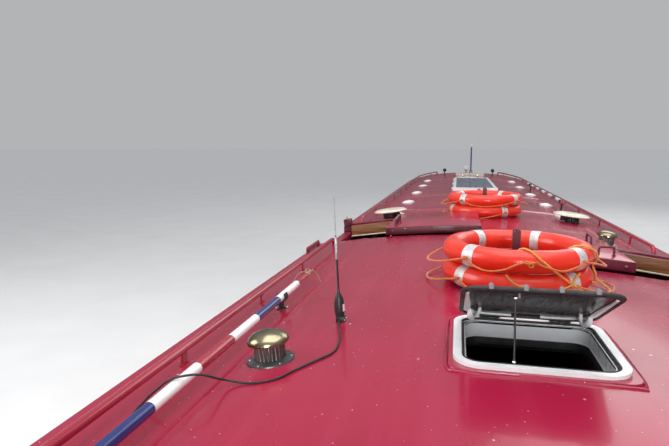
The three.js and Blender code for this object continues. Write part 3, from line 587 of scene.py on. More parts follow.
def bowHalf(station, tip):
    if station <= hull["shoulder"]:
        return hull["halfBeam"]
    share = min(1, (station - hull["shoulder"]) / (tip - hull["shoulder"]))
    return max(0.012, hull["halfBeam"] * (1 - share ** 2.1))


def counterOutline(tip, sternSteps=20, bowSteps=36, grow=0.0):
    # starboard side from the stern to the bow, as (half-width, station)
    reach = hull["counterSquare"] - hull["stern"]
    points = []
    for i in range(sternSteps + 1):
        angle = math.radians(90 * (1 - i / sternSteps))
        points.append((max(0.012, (hull["halfBeam"] + grow) * math.cos(angle)),
                       hull["counterSquare"] - (reach + grow) * math.sin(angle)))
    for i in range(bowSteps + 1):
        station = hull["shoulder"] + (tip - hull["shoulder"]) * (1 - (1 - i / bowSteps) ** 1.5)
        points.append((bowHalf(station, tip) + grow, station + (grow if i == bowSteps else 0)))
    return points


def makeStage():
    side = counterOutline(stemAt(waterline), grow=stage["clearance"])
    inner = [(x, at(s)) for x, s in side] + [(-x, at(s)) for x, s in reversed(side)]
    bm = bmesh.new()
    near = [bm.verts.new((x, y, waterline)) for x, y in inner]
    reach = stage["size"]
    far = []
    for x, y in inner:
        away = Vector((x * 5, y)).normalized()
        far.append(bm.verts.new((away.x * reach, away.y * reach, waterline)))
    for i in range(len(inner)):
        j = (i + 1) % len(inner)
        bm.faces.new((near[i], far[i], far[j], near[j]))
    mesh = bpy.data.meshes.new("stageFloor")
    bmesh.ops.recalc_face_normals(bm, faces=bm.faces)
    bm.to_mesh(mesh)
    bm.free()
    floor = bpy.data.objects.new("stageFloor", mesh)
    scene.collection.objects.link(floor)
    mesh.materials.append(evenPaint("paleFloor", stage["colour"], 0.7, 0.02, scale=1.5))


makeStage()

# Lights: a soft overcast sky that is brighter overhead, three broad lamps and a narrower one astern

lamps = {
    "sky": (0.93, 0.95, 1.0), "horizon": (0.2, 0.21, 0.21), "skyStrength": 0.72,
    "backdrop": (0.45, 0.455, 0.465),
    # name, place over the boat, size, power, spread, aimed at
    "areas": [("overhead", (0.3, at(1.5), 7.0), 6.0, 230, 180, (0, at(1.5), 1.9)),
              ("portSide", (-7.0, at(0.5), 5.0), 4.0, 260, 180, (0, at(2.0), 1.7)),
              ("bowSide", (4.5, at(14.0), 8.5), 7.0, 275, 180, (0, at(7.0), 1.7)),
              ("astern", (0.6, at(-5.0), 3.0), 2.4, 21, 45, (0, at(1.4), 2.1))],
}


def makeLights():
    world = bpy.data.worlds.new("softSky")
    world.use_nodes = True
    tree = world.node_tree
    parts = addNode(tree, "SeparateXYZ", {0: addNode(tree, "TexCoord").outputs["Generated"]})
    height = between(tree, parts.outputs["Z"], 0.06, 0.85)
    sky = tree.nodes["Background"]
    feed(tree, sky.inputs["Color"], blendColour(tree, height, lamps["horizon"], lamps["sky"]))
    sky.inputs["Strength"].default_value = lamps["skyStrength"]
    # what stands behind the boat is a plain pale backdrop, so the floor has no hard edge
    backdrop = addNode(tree, "Background", {"Color": lamps["backdrop"]})
    seen = addNode(tree, "LightPath").outputs["Is Camera Ray"]
    either = addNode(tree, "MixShader", {"Fac": seen, 1: sky.outputs[0], 2: backdrop.outputs[0]})
    feed(tree, tree.nodes["World Output"].inputs["Surface"], either.outputs[0])
    scene.world = world
    scene.view_settings.view_transform = "Standard"
    for name, place, size, power, spread, aim in lamps["areas"]:
        data = bpy.data.lights.new(name, "AREA")
        data.size = size
        data.energy = power
        data.spread = math.radians(spread)
        holder = bpy.data.objects.new(name, data)
        holder.location = place
        holder.rotation_euler = (Vector(aim) - Vector(place)).to_track_quat("-Z", "Y").to_euler()
        scene.collection.objects.link(holder)


makeLights()
print("stage and lights ready")

# Roof: one shell of folded plate, with the hatch wells, the rear hatchway and the skylight cut in it

roofCuts = [  # low x, high x, aft station, fore station
    (-0.305, 0.305, 0.0, 0.675),
    (0.034, 2.0, 2.285, 2.865),
    (-2.0, -0.034, 2.99, 3.68),
    (-0.131, 0.187, 1.166, 1.466),
]
seams = {"ridge": 0.655, "ridgeHigh": 0.0034, "x": 0.747, "high": 0.0022, "half": 0.005,
         "across": [4.32, 5.62, 7.0, 8.4], "acrossHigh": 0.0012}


def smoothRoofZ(x):
    # the fold at the knuckle is rounded, and a weld bead runs along outboard of it
    fold, reach = roof["knuckle"], roof["softening"]
    a = abs(x)
    z = roofZ(x)
    if abs(a - fold) < reach:
        t = (a - fold + reach) / (2 * reach)
        before, after = roofZ(fold - reach), roofZ(fold + reach)
        slopeIn = -2 * roof["knuckleFall"] * (fold - reach) / fold ** 2 * 2 * reach
        slopeOut = -(roof["edgeFall"] - roof["knuckleFall"]) / (roof["half"] - fold) * 2 * reach
        z = (before * (2 * t ** 3 - 3 * t ** 2 + 1) + slopeIn * (t ** 3 - 2 * t ** 2 + t)
             + after * (3 * t ** 2 - 2 * t ** 3) + slopeOut * (t ** 3 - t ** 2))
    bead = max(0, 1 - ((a - seams["x"]) / seams["half"]) ** 2)
    away = a - seams["ridge"]
    ridge = seams["ridgeHigh"] * math.exp(-(away / (0.009 if away < 0 else 0.035)) ** 2)
    return z + seams["high"] * bead ** 0.5 + ridge


def makeRoof():
    half = roof["half"]
    columns = {0.0, 0.034, 0.131, 0.187, 0.305, half}
    columns |= {round(0.05 * i, 3) for i in range(1, 13)}
    columns |= {round(roof["knuckle"] + d, 4) for d in (-0.02, -0.014, -0.007, 0.0, 0.007, 0.014, 0.02)}
    columns |= {round(seams["x"] + d * seams["half"], 5) for d in (-1, -0.8, -0.4, 0, 0.4, 0.8, 1)}
    columns |= {0.71, 0.78, 0.812, 0.85, 0.89}
    columns |= {round(seams["ridge"] + 0.0045 * i, 4) for i in range(-5, 2)}
    columns = sorted({-c for c in columns} | columns)
    stations = {roof["aft"], roof["fore"]} | {s for cut in roofCuts for s in cut[2:] if s > roof["aft"]}
    stations |= {round(0.4 + 0.25 * i, 3) for i in range(39)}
    stations |= {round(roof["fore"] - roof["taper"] * i / 20, 4) for i in range(21)}
    for station in seams["across"]:
        stations |= {round(station + d * 0.006, 4) for d in (-1, -0.6, 0, 0.6, 1)}
    stations = sorted(stations)
    bm = bmesh.new()
    top, foot = {}, {}
    for j, station in enumerate(stations):
        squeeze = cabinHalf(station, half) / half
        ridge = sum(max(0, 1 - ((station - s) / 0.0061) ** 2)
                    for s in seams["across"]) * seams["acrossHigh"]
        for i, x in enumerate(columns):
            across = x * squeeze
            z = smoothRoofZ(across)
            top[i, j] = bm.verts.new((across, at(station), z + ridge * (1 if abs(x) < 0.66 else 0)))
            foot[i, j] = bm.verts.new((across, at(station), z - roof["thick"]))

    def solidCell(i, j):
        if not (0 <= i < len(columns) - 1 and 0 <= j < len(stations) - 1):
            return False
        x, s = (columns[i] + columns[i + 1]) / 2, (stations[j] + stations[j + 1]) / 2
        return not any(x0 < x < x1 and s0 < s < s1 for x0, x1, s0, s1 in roofCuts)

    for j in range(len(stations) - 1):
        for i in range(len(columns) - 1):
            if not solidCell(i, j):
                continue
            a, b, c, d = (i, j), (i + 1, j), (i + 1, j + 1), (i, j + 1)
            bm.faces.new([top[k] for k in (a, b, c, d)])
            bm.faces.new([foot[k] for k in (d, c, b, a)])
            for p, q, beside in ((a, b, (i, j - 1)), (b, c, (i + 1, j)), (c, d, (i, j + 1)),
                                 (d, a, (i - 1, j))):
                if not solidCell(*beside):
                    bm.faces.new((top[q], top[p], foot[p], foot[q]))
    bmesh.ops.delete(bm, geom=[v for v in bm.verts if not v.link_faces], context="VERTS")
    rim = [e for e in bm.edges if len(e.link_faces) == 2 and e.calc_face_angle(0) > math.radians(70)]
    bmesh.ops.bevel(bm, geom=rim, offset=0.004, segments=3, affect="EDGES", profile=0.5, clamp_overlap=True)
    # the upright walls of the hatchway and the wells take the dark maroon as painted shade in the openings;
    # all else is crimson
    for face in bm.faces:
        middle = face.calc_center_median()
        upright = abs(face.normal.z) < 0.5
        inside = any(x0 - 0.003 < middle.x < x1 + 0.003 and at(s0) - 0.003 < middle.y < at(s1) + 0.003
                     for x0, x1, s0, s1 in roofCuts[:3])
        face.material_index = 1 if upright and inside else 0
    return piece("cabinRoof", bm, ["roofCrimson", "maroonTrimAndShade"],
                 stands=["roof_aft", "roof_fore"], sharp=32)


makeRoof()

# Welded trim on the roof: the skylight's raised lip, the posts of the lifebuoy stacks, and the mast's step

postSizes = {"half": 0.014, "thick": 0.004, "footHalf": 0.045, "footLong": 0.03, "footHigh": 0.008}
stacks = [  # distance to starboard, station, number of rings
    (0.05, 1.975, 2), (0.03, 3.955, 2), (0.022, 4.83, 1),
]
ringSize = {"thick": 0.076}
mastStep = {"x": 0.06, "station": 10.02, "half": 0.034, "cheek": 0.016, "cheekThick": 0.01, "pivot": 0.038}


def weldLine(bm, points, radius, seed, mat=0, closed=False):
    rng = random.Random(seed)
    fine = smoothLine(points, 0.007, closed)
    made = [p + Vector((0, 0, rng.uniform(-0.1, 0.12) * radius)) for p in fine]
    tube(bm, made, radius, mat, 8, closed)


def makeRoofTrim():
    bm = bmesh.new()
    x0, x1, y0, y1 = -0.169, 0.225, at(1.129), at(1.512)     # foot of the skylight's raised lip
    loops = []
    for grow, z in ((0, -0.012), (0, 0.0), (-0.002, 0.003), (-0.034, 0.003), (-0.038, 0.001),
                    (-0.038, -0.03)):
        outline = roundedOutline(x0 - grow, x1 + grow, y0 - grow, y1 + grow, 0.03, 5)
        loops.append([Vector((x, y, roof["crown"] + z - (0 if z > 0.0005 else camber(x))))
                      for x, y in outline])
    loft(bm, loops, 0, caps=False)
    edge = roundedOutline(x0 - 0.002, x1 + 0.002, y0 - 0.002, y1 + 0.002, 0.026, 3)
    weldLine(bm, [(x, y, roofZ(x) + 0.0005) for x, y in edge], 0.0042, 11, 0, True)
    weldLine(bm, [(x, y0 - 0.002, roofZ(x) + 0.001) for x in (-0.02, 0.07, 0.15, x1)], 0.0034, 12)
    for x, station, rings in stacks:
        top = roof["crown"] + rings * ringSize["thick"] + 0.034
        size = postSizes
        outline = [(-size["half"], -0.03)]
        outline += [(-size["half"] * math.cos(math.radians(a)),
                     top - roof["crown"] - 0.006 + 0.006 * math.sin(math.radians(a)))
                    for a in range(0, 181, 30)]
        outline += [(size["half"], -0.03)]
        place = moved(x, at(station), roof["crown"]) @ spun(90, "X")
        slab(bm, outline[::-1], -size["thick"], size["thick"], 1, 0.0012, place)
        low = (x - size["footHalf"], at(station) - size["footLong"], roof["crown"] - 0.01)
        high = (x + size["footHalf"], at(station) + size["footLong"], roof["crown"] + size["footHigh"])
        block(bm, low, high, 1, 0.003)
        foot = roundedOutline(x - 0.046, x + 0.046, at(station) - 0.031, at(station) + 0.031, 0.004, 1)
        weldLine(bm, [(p, q, roofZ(p) + 0.001) for p, q in foot], 0.003, 20 + rings, 1, True)
    s = mastStep
    y = at(s["station"])
    block(bm, (s["x"] - s["half"], y - s["half"], roof["crown"] - 0.01),
          (s["x"] + s["half"], y + s["half"], roof["crown"] + 0.012), 1, 0.002)
    for side in (-1, 1):
        inner = s["cheek"] if side > 0 else -s["cheek"] - s["cheekThick"]
        outline = [(y - 0.02, 0.0), (y + 0.02, 0.0)]
        outline += [(y + 0.02 * math.cos(math.radians(a)),
                     s["pivot"] - 0.006 + 0.02 * math.sin(math.radians(a)))
                    for a in range(0, 181, 20)]
        place = acrossBoat(s["x"] + inner, roof["crown"])
        slab(bm, outline, 0, s["cheekThick"], 1, 0.0015, place)
    return piece("roofTrim", bm, ["roofCrimson", "maroonTrimAndShade"])


makeRoofTrim()

# Handrails: a round bar on flat posts, turned down to the roof at its ends

rails = {
    "span": 0.812, "lift": 0.041, "radius": 0.0105, "straightTo": 8.4,
    "end": mm((0, 36), (6, 22), (18, 8), (34, 1.5), (60, 0), (100, 0)),     # distance from the end, fall
    # node, side, aft end, fore end, posts
    "each": [
        ("handrail_aft_port", -1, 0.26, 2.85, (0.62, 1.175, 1.73, 2.245)),
        ("handrail_aft_starboard", 1, 0.26, 2.17, (0.62, 1.175, 1.73)),
        ("handrail_fore_port", -1, 3.725, 10.14, (4.4, 5.07, 5.74, 6.41, 7.08, 7.75, 8.42, 9.2, 9.9)),
        ("handrail_fore_starboard", 1, 2.95, 10.14, (3.34, 4.04, 4.72, 5.4, 6.07, 6.74, 7.41, 8.08,
            8.75, 9.4, 9.96)),
    ],
}


def railPoint(side, station, fall=0.0):
    x = side * cabinHalf(station, rails["span"])
    return Vector((x, at(station), roofZ(x) + rails["lift"] - fall))


def makeRails():
    for node, side, aft, fore, posts in rails["each"]:
        bm = bmesh.new()
        line = [railPoint(side, aft + away, fall) for away, fall in rails["end"]]
        level = min(fore, rails["straightTo"])
        line += [railPoint(side, s) for s in (aft + 0.2, (aft + level) / 2, level - 0.2)]
        line += [railPoint(side, level + 0.15 * i) for i in range(1, 11) if fore > 9]
        line += [railPoint(side, fore - away, fall) for away, fall in reversed(rails["end"])]
        curve = smoothLine(line, 0.03)
        tube(bm, curve, rails["radius"], 0, 20)
        for station in posts:
            top = railPoint(side, station)
            base = roofZ(top.x)
            lean = moved(top.x, top.y, base)
            outline = [(-0.003, -0.008), (0.003, -0.008), (0.003, rails["lift"]), (-0.003, rails["lift"])]
            place = lean @ spun(90, "X")
            slab(bm, outline, -0.011, 0.011, 0, 0.001, place)
            weldLine(bm, [(top.x + 0.006 * math.cos(a), top.y + 0.015 * math.sin(a), base + 0.001)
                          for a in (0, 1.05, 2.09, 3.14, 4.19, 5.24)], 0.0035, int(station * 10), 0, True)
        piece("rail" + sideWord[side] + ("Aft" if "aft" in node else "Fore"), bm, ["railCrimson"],
              stands=[node])


makeRails()
print("roof and handrails ready")

# Poles on their rests: painted bands, and a string tie on the port one

def bandPaint(name, colour, rough, wear):
    material, tree = newFinish(name, coat=0.5, coatRough=0.15, specular=0.5)
    chips = blendColour(tree, specks(tree, 60, 0.2, wear), colour, (0.32, 0.25, 0.18))
    scuffed = between(tree, grain(tree, 7, (6, 1, 6), 6), 0.5, 0.78, 0, 0.35)
    grime = tuple(0.55 * c + 0.02 for c in colour)
    rough = between(tree, grain(tree, 24, (4, 1, 4), 5), 0.3, 0.7, rough * 0.7, rough * 1.6)
    return finished(material, blendColour(tree, scuffed, chips, grime), rough,
                    grain(tree, 90, (3, 0.4, 3), 4), 0.0004, 0.45, coat=True)


def twine(name, colour, dark, scale=900):
    material, tree = newFinish(name, sheen=0.25, rough=0.8)
    values = {"Scale": scale / 6.28, "Distortion": 2.5, "Vector": surfacePlace(tree, (1, 1, 0.6))}
    strands = addNode(tree, "TexWave", values)
    mixed = blendColour(tree, between(tree, strands.outputs["Fac"], 0.2, 0.7), dark, colour)
    worn = blendColour(tree, between(tree, grain(tree, 40, detail=4), 0.45, 0.7, 0, 0.5), mixed, dark)
    return finished(material, worn, None, strands.outputs["Fac"], 0.0005, 0.6)


bandPaint("navyBandPaint", (0.006, 0.018, 0.15), 0.2, 0.015)
bandPaint("whiteBandPaint", (0.9, 0.9, 0.89), 0.3, 0.012)
bandPaint("crimsonBandPaint", (0.37, 0.01, 0.03), 0.22, 0.015)
twine("tanTwine", (0.55, 0.42, 0.25), (0.24, 0.17, 0.09))

poles = {
    "radius": 0.0126, "sides": 28,
    "port": {"x": -0.705, "from": 0.12, "to": 2.03, "rests": (0.64, 1.626),
             "bands": [(0.848, 0), (1.038, 1), (1.218, 2), (1.391, 1), (1.579, 0), (1.79, 1), (2.03, 2)]},
    "starboard": {"x": 0.675, "from": 4.6, "to": 7.1, "rests": (4.726, 6.7),
                  "bands": [(4.75, 2), (4.95, 1), (5.15, 0), (5.35, 1), (5.55, 2), (5.75, 1),
                            (5.95, 0), (6.15, 1), (6.35, 2), (6.55, 1), (6.75, 0), (6.92, 1), (7.1, 2)]},
}


def makePole(side):
    pole = poles[side]
    low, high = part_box("pole_" + side)
    centre = (low + high) / 2
    bm = bmesh.new()
    radius = poles["radius"]
    stations, mats = [], []
    start = pole["from"]
    for end, mat in pole["bands"]:
        steps = max(2, round((end - start) / 0.03))
        for i in range(steps):
            stations.append(start + (end - start) * i / steps)
            mats.append(mat)
        start = end
    stations.append(start)
    rings = []
    for station in stations:
        fromEnd = min(station - pole["from"], pole["to"] - station)
        thick = radius * (0.72 if fromEnd < 0.0005 else 1.0)
        thick *= 0.66 if side == "port" and station > 1.79 else 1.0
        sway = 0.0004 * math.sin(station * 5.1)
        rings.append(ringAround(Vector((centre.x + sway, at(station), centre.z)), Vector((1, 0, 0)),
                                Vector((0, 0, 1)), thick, poles["sides"]))
    insert = {0: 0.004, len(stations) - 1: -0.004}
    for index, away in insert.items():
        extra = ringAround(Vector((centre.x, at(stations[index] + away), centre.z)), Vector((1, 0, 0)),
                           Vector((0, 0, 1)), radius * (0.64 if side == "port" and away < 0 else 0.985),
                           poles["sides"])
        if index == 0:
            rings.insert(1, extra)
            mats.insert(0, mats[0])
        else:
            rings.insert(len(rings) - 1, extra)
            mats.append(mats[-1])
    loft(bm, rings, lambda k: mats[min(k, len(mats) - 1)])
    name = "pole" + side.capitalize()
    piece(name, bm, ["navyBandPaint", "whiteBandPaint", "crimsonBandPaint"],
          stands=["pole_" + side])
    for number, station in enumerate(pole["rests"], 1):
        rest = bmesh.new()
        base = onRoof(pole["x"], station)
        middle = base.inverted() @ Vector((centre.x, at(station), centre.z))
        block(rest, (-0.014, -0.011, -0.001), (0.014, 0.011, 0.0035), 0, 0.0012, base)
        for x in (-0.018, 0.018):
            turn(rest, mm((4.2, 4.5), (4.2, 6.8), (3, 8), (0, 8.2)), base @ moved(x, 0, 0), 1, 12)
        block(rest, (-0.006, -0.0105, 0.004), (0.006, 0.0105, middle.z - 0.015), 0, 0.0015, base)
        arc = []
        for reach, order in ((0.0185, range(0, 19)), (0.0135, range(18, -1, -1))):
            for i in order:
                angle = math.radians(-130 + 260 * i / 18)
                arc.append((middle.x + reach * math.sin(angle), middle.z - reach * math.cos(angle)))
        place = base @ spun(90, "X")
        slab(rest, arc, -0.0115, 0.0115, 0, 0.0008, place)
        piece("rest" + side.capitalize() + str(number), rest, ["blackRubber", "brightSteel"],
              stands=["pole_rest_" + side + "_" + str(number)])
    return centre


portAxis = makePole("port")
makePole("starboard")


def makePoleTie():
    bm = bmesh.new()
    points = []
    for i in range(12 * 7 + 1):
        angle = 2 * math.pi * i / 12
        reach = poles["radius"] * 0.66 + 0.0012
        points.append((portAxis.x + reach * math.cos(angle), at(1.925) + 0.0027 * i / 12,
                       portAxis.z + reach * math.sin(angle)))
    tube(bm, points, 0.0014, 0, 7)
    x, y, z = portAxis.x, at(1.935), portAxis.z - 0.004
    for ends in (((0.0, 0, 0.0145), (-0.018, -0.012, 0.016), (-0.034, -0.02, 0.006),
                  (-0.043, -0.03, -0.012), (-0.05, -0.038, -0.0335)),
                 ((0.0, 0, 0.0145), (0.016, 0.012, 0.017), (0.03, 0.018, 0.005), (0.04, 0.02, -0.014),
                  (0.052, 0.018, -0.0325)),
                 ((-0.004, 0, 0.0145), (-0.014, 0.02, 0.02), (-0.004, 0.034, 0.017), (0.006, 0.02, 0.0165),
                  (0.002, 0.0, 0.0148))):
        tube(bm, smoothLine([(x + a, y + b, z + c) for a, b, c in ends], 0.004), 0.0014, 0, 7)
    return piece("poleTie", bm, ["tanTwine"])


makePoleTie()

# Vents: two brass mushroom vents on ribbed necks, and two wide flat cowls

def ribbedNeck(bm, place, radius, low, high, ribs, depth, mat):
    sides = ribs * 4
    rings = []
    for k, z in enumerate((low, low + 0.003, high - 0.003, high)):
        around = []
        for i in range(sides):
            inset = depth if i % 4 in (1, 2) else 0
            r = radius - (inset if k in (1, 2) else depth * 0.5)
            angle = 2 * math.pi * i / sides
            around.append(place @ Vector((r * math.cos(angle), r * math.sin(angle), z)))
        rings.append(around)
    loft(bm, rings, mat)


evenPaint("weatheredAlloy", (0.17, 0.155, 0.15), 0.42, 0.3, 0.85, scale=30, texture=0.0004)
evenPaint("flangeAlloy", (0.13, 0.13, 0.135), 0.34, 0.25, 0.75, scale=26)
evenPaint("tarnishedDome", (0.4, 0.345, 0.215), 0.2, 0.42, 1.0, scale=8)
evenPaint("creamPaint", (0.72, 0.66, 0.54), 0.4, 0.12, coat=0.25, scale=18)
# deck-light domes: the white base colour is a painted reflection of the sky on their glass; the coat adds
# real gloss
evenPaint("paintedReflectionLens", (0.86, 0.87, 0.86), 0.16, 0.03, coat=0.8, scale=20)
vents = {
    "ribs": 26, "domeRadius": 0.0508, "screws": 6, "cowlLegs": 3,
    # node, distance to starboard, station, and a cowl's lean
    "mushrooms": [("vent_port", -0.585, 1.18), ("vent_starboard", 0.61, 3.05)],
    "cowls": [("cowl_port", -0.625, 3.92, -0.006), ("cowl_starboard", 0.596, 3.91, -0.006)],
}


def makeVents():
    for node, x, station in vents["mushrooms"]:
        bm = bmesh.new()
        place = onRoof(x, station)
        turn(bm, mm((0, -20), (58.5, -20), (58.5, 2.5), (57.5, 4), (44, 4.5), (41, 6.2), (38.5, 6.5)),
             place, 1, 64)
        ribbedNeck(bm, place, 0.0378, 0.005, 0.0435, vents["ribs"], 0.0022, 0)
        dome = mm((36, 44.5), (46.5, 43.8), (49.6, 44.4), (50.8, 46.2))
        turn(bm, dome + domed(vents["domeRadius"], 0.0476, 0.0262, 13, 0.92, 0), place, 2, 64)
        for i in range(vents["screws"]):
            spot = place @ spun(360 / vents["screws"] * i + 15, "Z") @ moved(0.0505, 0, 0.004)
            turn(bm, mm((4.2, 0), (4, 1.2), (2.2, 2), (0.7, 2), (0.6, 1.2), (0, 1.2)), spot, 3, 14)
        piece("mushroom" + node.split("_")[1].capitalize(), bm,
              ["weatheredAlloy", "flangeAlloy", "tarnishedDome", "brightSteel"],
              stands=[node])
    for node, x, station, lean in vents["cowls"]:
        bm = bmesh.new()
        place = onRoof(x, station) @ Matrix.Rotation(lean, 4, "Y")
        turn(bm, mm((0, -20), (33, -20), (33, 3), (28, 5), (27.5, 40), (33, 42.5)), place, 1, 48)
        cap = mm((30, 42.5), (100, 42.8), (112, 43.4), (116.5, 45.2), (118, 48), (117.2, 50.8), (113, 52.8),
                 (109, 53.3), (107.5, 54.6), (106.8, 56.2))
        turn(bm, cap + domed(0.1068, 0.0562, 0.0095, 9), place, 0, 80)
        for i in range(vents["cowlLegs"]):
            spot = place @ spun(360 / vents["cowlLegs"] * i + 30, "Z")
            block(bm, (0.03, -0.003, 0.002), (0.07, 0.003, 0.044), 1, 0.001, spot)
        turn(bm, mm((7, 64.5), (6.8, 66.2), (3, 67), (0, 67)), place, 2, 16)
        piece("cowl" + node.split("_")[1].capitalize(), bm, ["creamPaint", "satinBlack", "brightSteel"],
              stands=[node])


makeVents()

# Small round deck lights along both sides of the fore roof

deckLights = {"x": 0.6, "stations": {-1: (4.05, 5.0, 6.03, 7.1, 8.17), 1: (4.2, 5.0, 6.03, 7.1, 8.17)}}


def makeDeckLights():
    for side, stations in deckLights["stations"].items():
        for number, station in enumerate(stations, 1):
            bm = bmesh.new()
            place = onRoof(side * deckLights["x"], station)
            turn(bm, mm((0, -3), (56, -3), (56, 3), (54.5, 6.5), (50, 8.5), (44.5, 8.8), (43, 7.8)), place,
                 0, 56)
            # the dome, white as a painted reflection of the sky
            turn(bm, [(0.0435, 0.006), (0.0425, 0.009)] + domed(0.0425, 0.009, 0.011, 8), place, 1, 56)
            for i in range(4):
                spot = place @ spun(90 * i + 45, "Z") @ moved(0.0495, 0, 0.0082)
                turn(bm, mm((3.2, 0), (3, 1.2), (0, 1.7)), spot, 2, 10)
            piece("deckLight" + sideWord[side] + str(number), bm,
                  ["whiteBandPaint", "paintedReflectionLens", "brightSteel"])


makeDeckLights()
print("poles, vents and deck lights ready")

# Skylight: frame with gasket and liner, the lid on its forward hinge, and the stay

evenPaint("frameWhite", (0.84, 0.85, 0.86), 0.34, 0.05, coat=0.2, scale=20, texture=0.0002)
evenPaint("linerGrey", (0.62, 0.63, 0.65), 0.32, 0.06, scale=12)
evenPaint("lugGrey", (0.2, 0.2, 0.21), 0.45, 0.12, scale=30)


def smokedPane():
    material, tree = newFinish("smokedPane", colour=(0.028, 0.01, 0.016), specular=0.06,
                               through=0.12, ior=1.49)
    rough = between(tree, grain(tree, 18, (8, 1, 1), 5), 0.35, 0.7, 0.1, 0.3)
    values = {"Scale": 7, "Distortion": 6, "Detail": 3, "Vector": surfacePlace(tree, (1, 1.6, 1))}
    lines = addNode(tree, "TexWave", values)
    return finished(material, None, rough, lines.outputs["Fac"], 0.0012, 0.15)


smokedPane()
skylight = {"x": 0.028, "aft": 1.132, "fore": 1.5, "half": 0.185, "low": 1.9633, "high": 1.972, "open": 27,
            "hinge": (0.028, 1.486, 1.984), "long": 0.336, "lidHalf": 0.1725, "lidLow": -0.0107}


def makeSkylightFrame():
    s = skylight
    x0, x1, y0, y1 = s["x"] - s["half"], s["x"] + s["half"], at(s["aft"]), at(s["fore"])
    bm = bmesh.new()

    def inset(depth, radius, steps=10):
        return roundedOutline(x0 + depth, x1 - depth, y0 + depth + 0.008, y1 - depth - 0.008, radius, steps)

    outer = roundedOutline(x0, x1, y0 + 0.009, y1, 0.062, 10)
    slab(bm, outer, s["low"], s["high"], 0, 0.0055, hole=inset(0.022, 0.038), steps=4)
    slab(bm, inset(0.0195, 0.0405), s["high"] - 0.004, s["high"] + 0.0012, 1, 0.0009,
         hole=inset(0.0235, 0.0365))
    linerOut, linerIn, sleeveIn = inset(0.0265, 0.04), inset(0.0295, 0.038), inset(0.0305, 0.037)
    slab(bm, linerOut, 1.926, s["low"] + 0.003, 2, 0.001, hole=linerIn)
    # closes the gap behind the liner
    slab(bm, inset(0.021, 0.04), s["low"] - 0.0028, s["low"] + 0.002, 1, 0.0004, hole=linerIn)
    lip = [(x, y, 1.9262) for x, y in linerIn]
    tube(bm, lip + [lip[0]], 0.0022, 2, 10)
    # under the grey liner, a black sleeve and inner flange: their black is painted shade for the dark depth
    # of the opening
    slab(bm, linerOut, 1.9, 1.9255, 3, 0.0006, hole=sleeveIn)
    flangeOut = roundedOutline(x0 + 0.004, x1 - 0.004, y0 + 0.01, y1 - 0.01, 0.05, 8)
    slab(bm, flangeOut, 1.898, 1.904, 3, 0.002, hole=sleeveIn)
    for x in (-0.09, 0.09):
        place = moved(s["hinge"][0] + x, at(s["hinge"][1]) + 0.005, s["high"])
        block(bm, (-0.026, -0.006, -0.001), (0.026, 0.008, 0.003), 3, 0.001, place)
    return piece("skylightFrame", bm, ["frameWhite", "blackRubber", "linerGrey", "satinBlack"],
                 stands=["skylight_frame"])


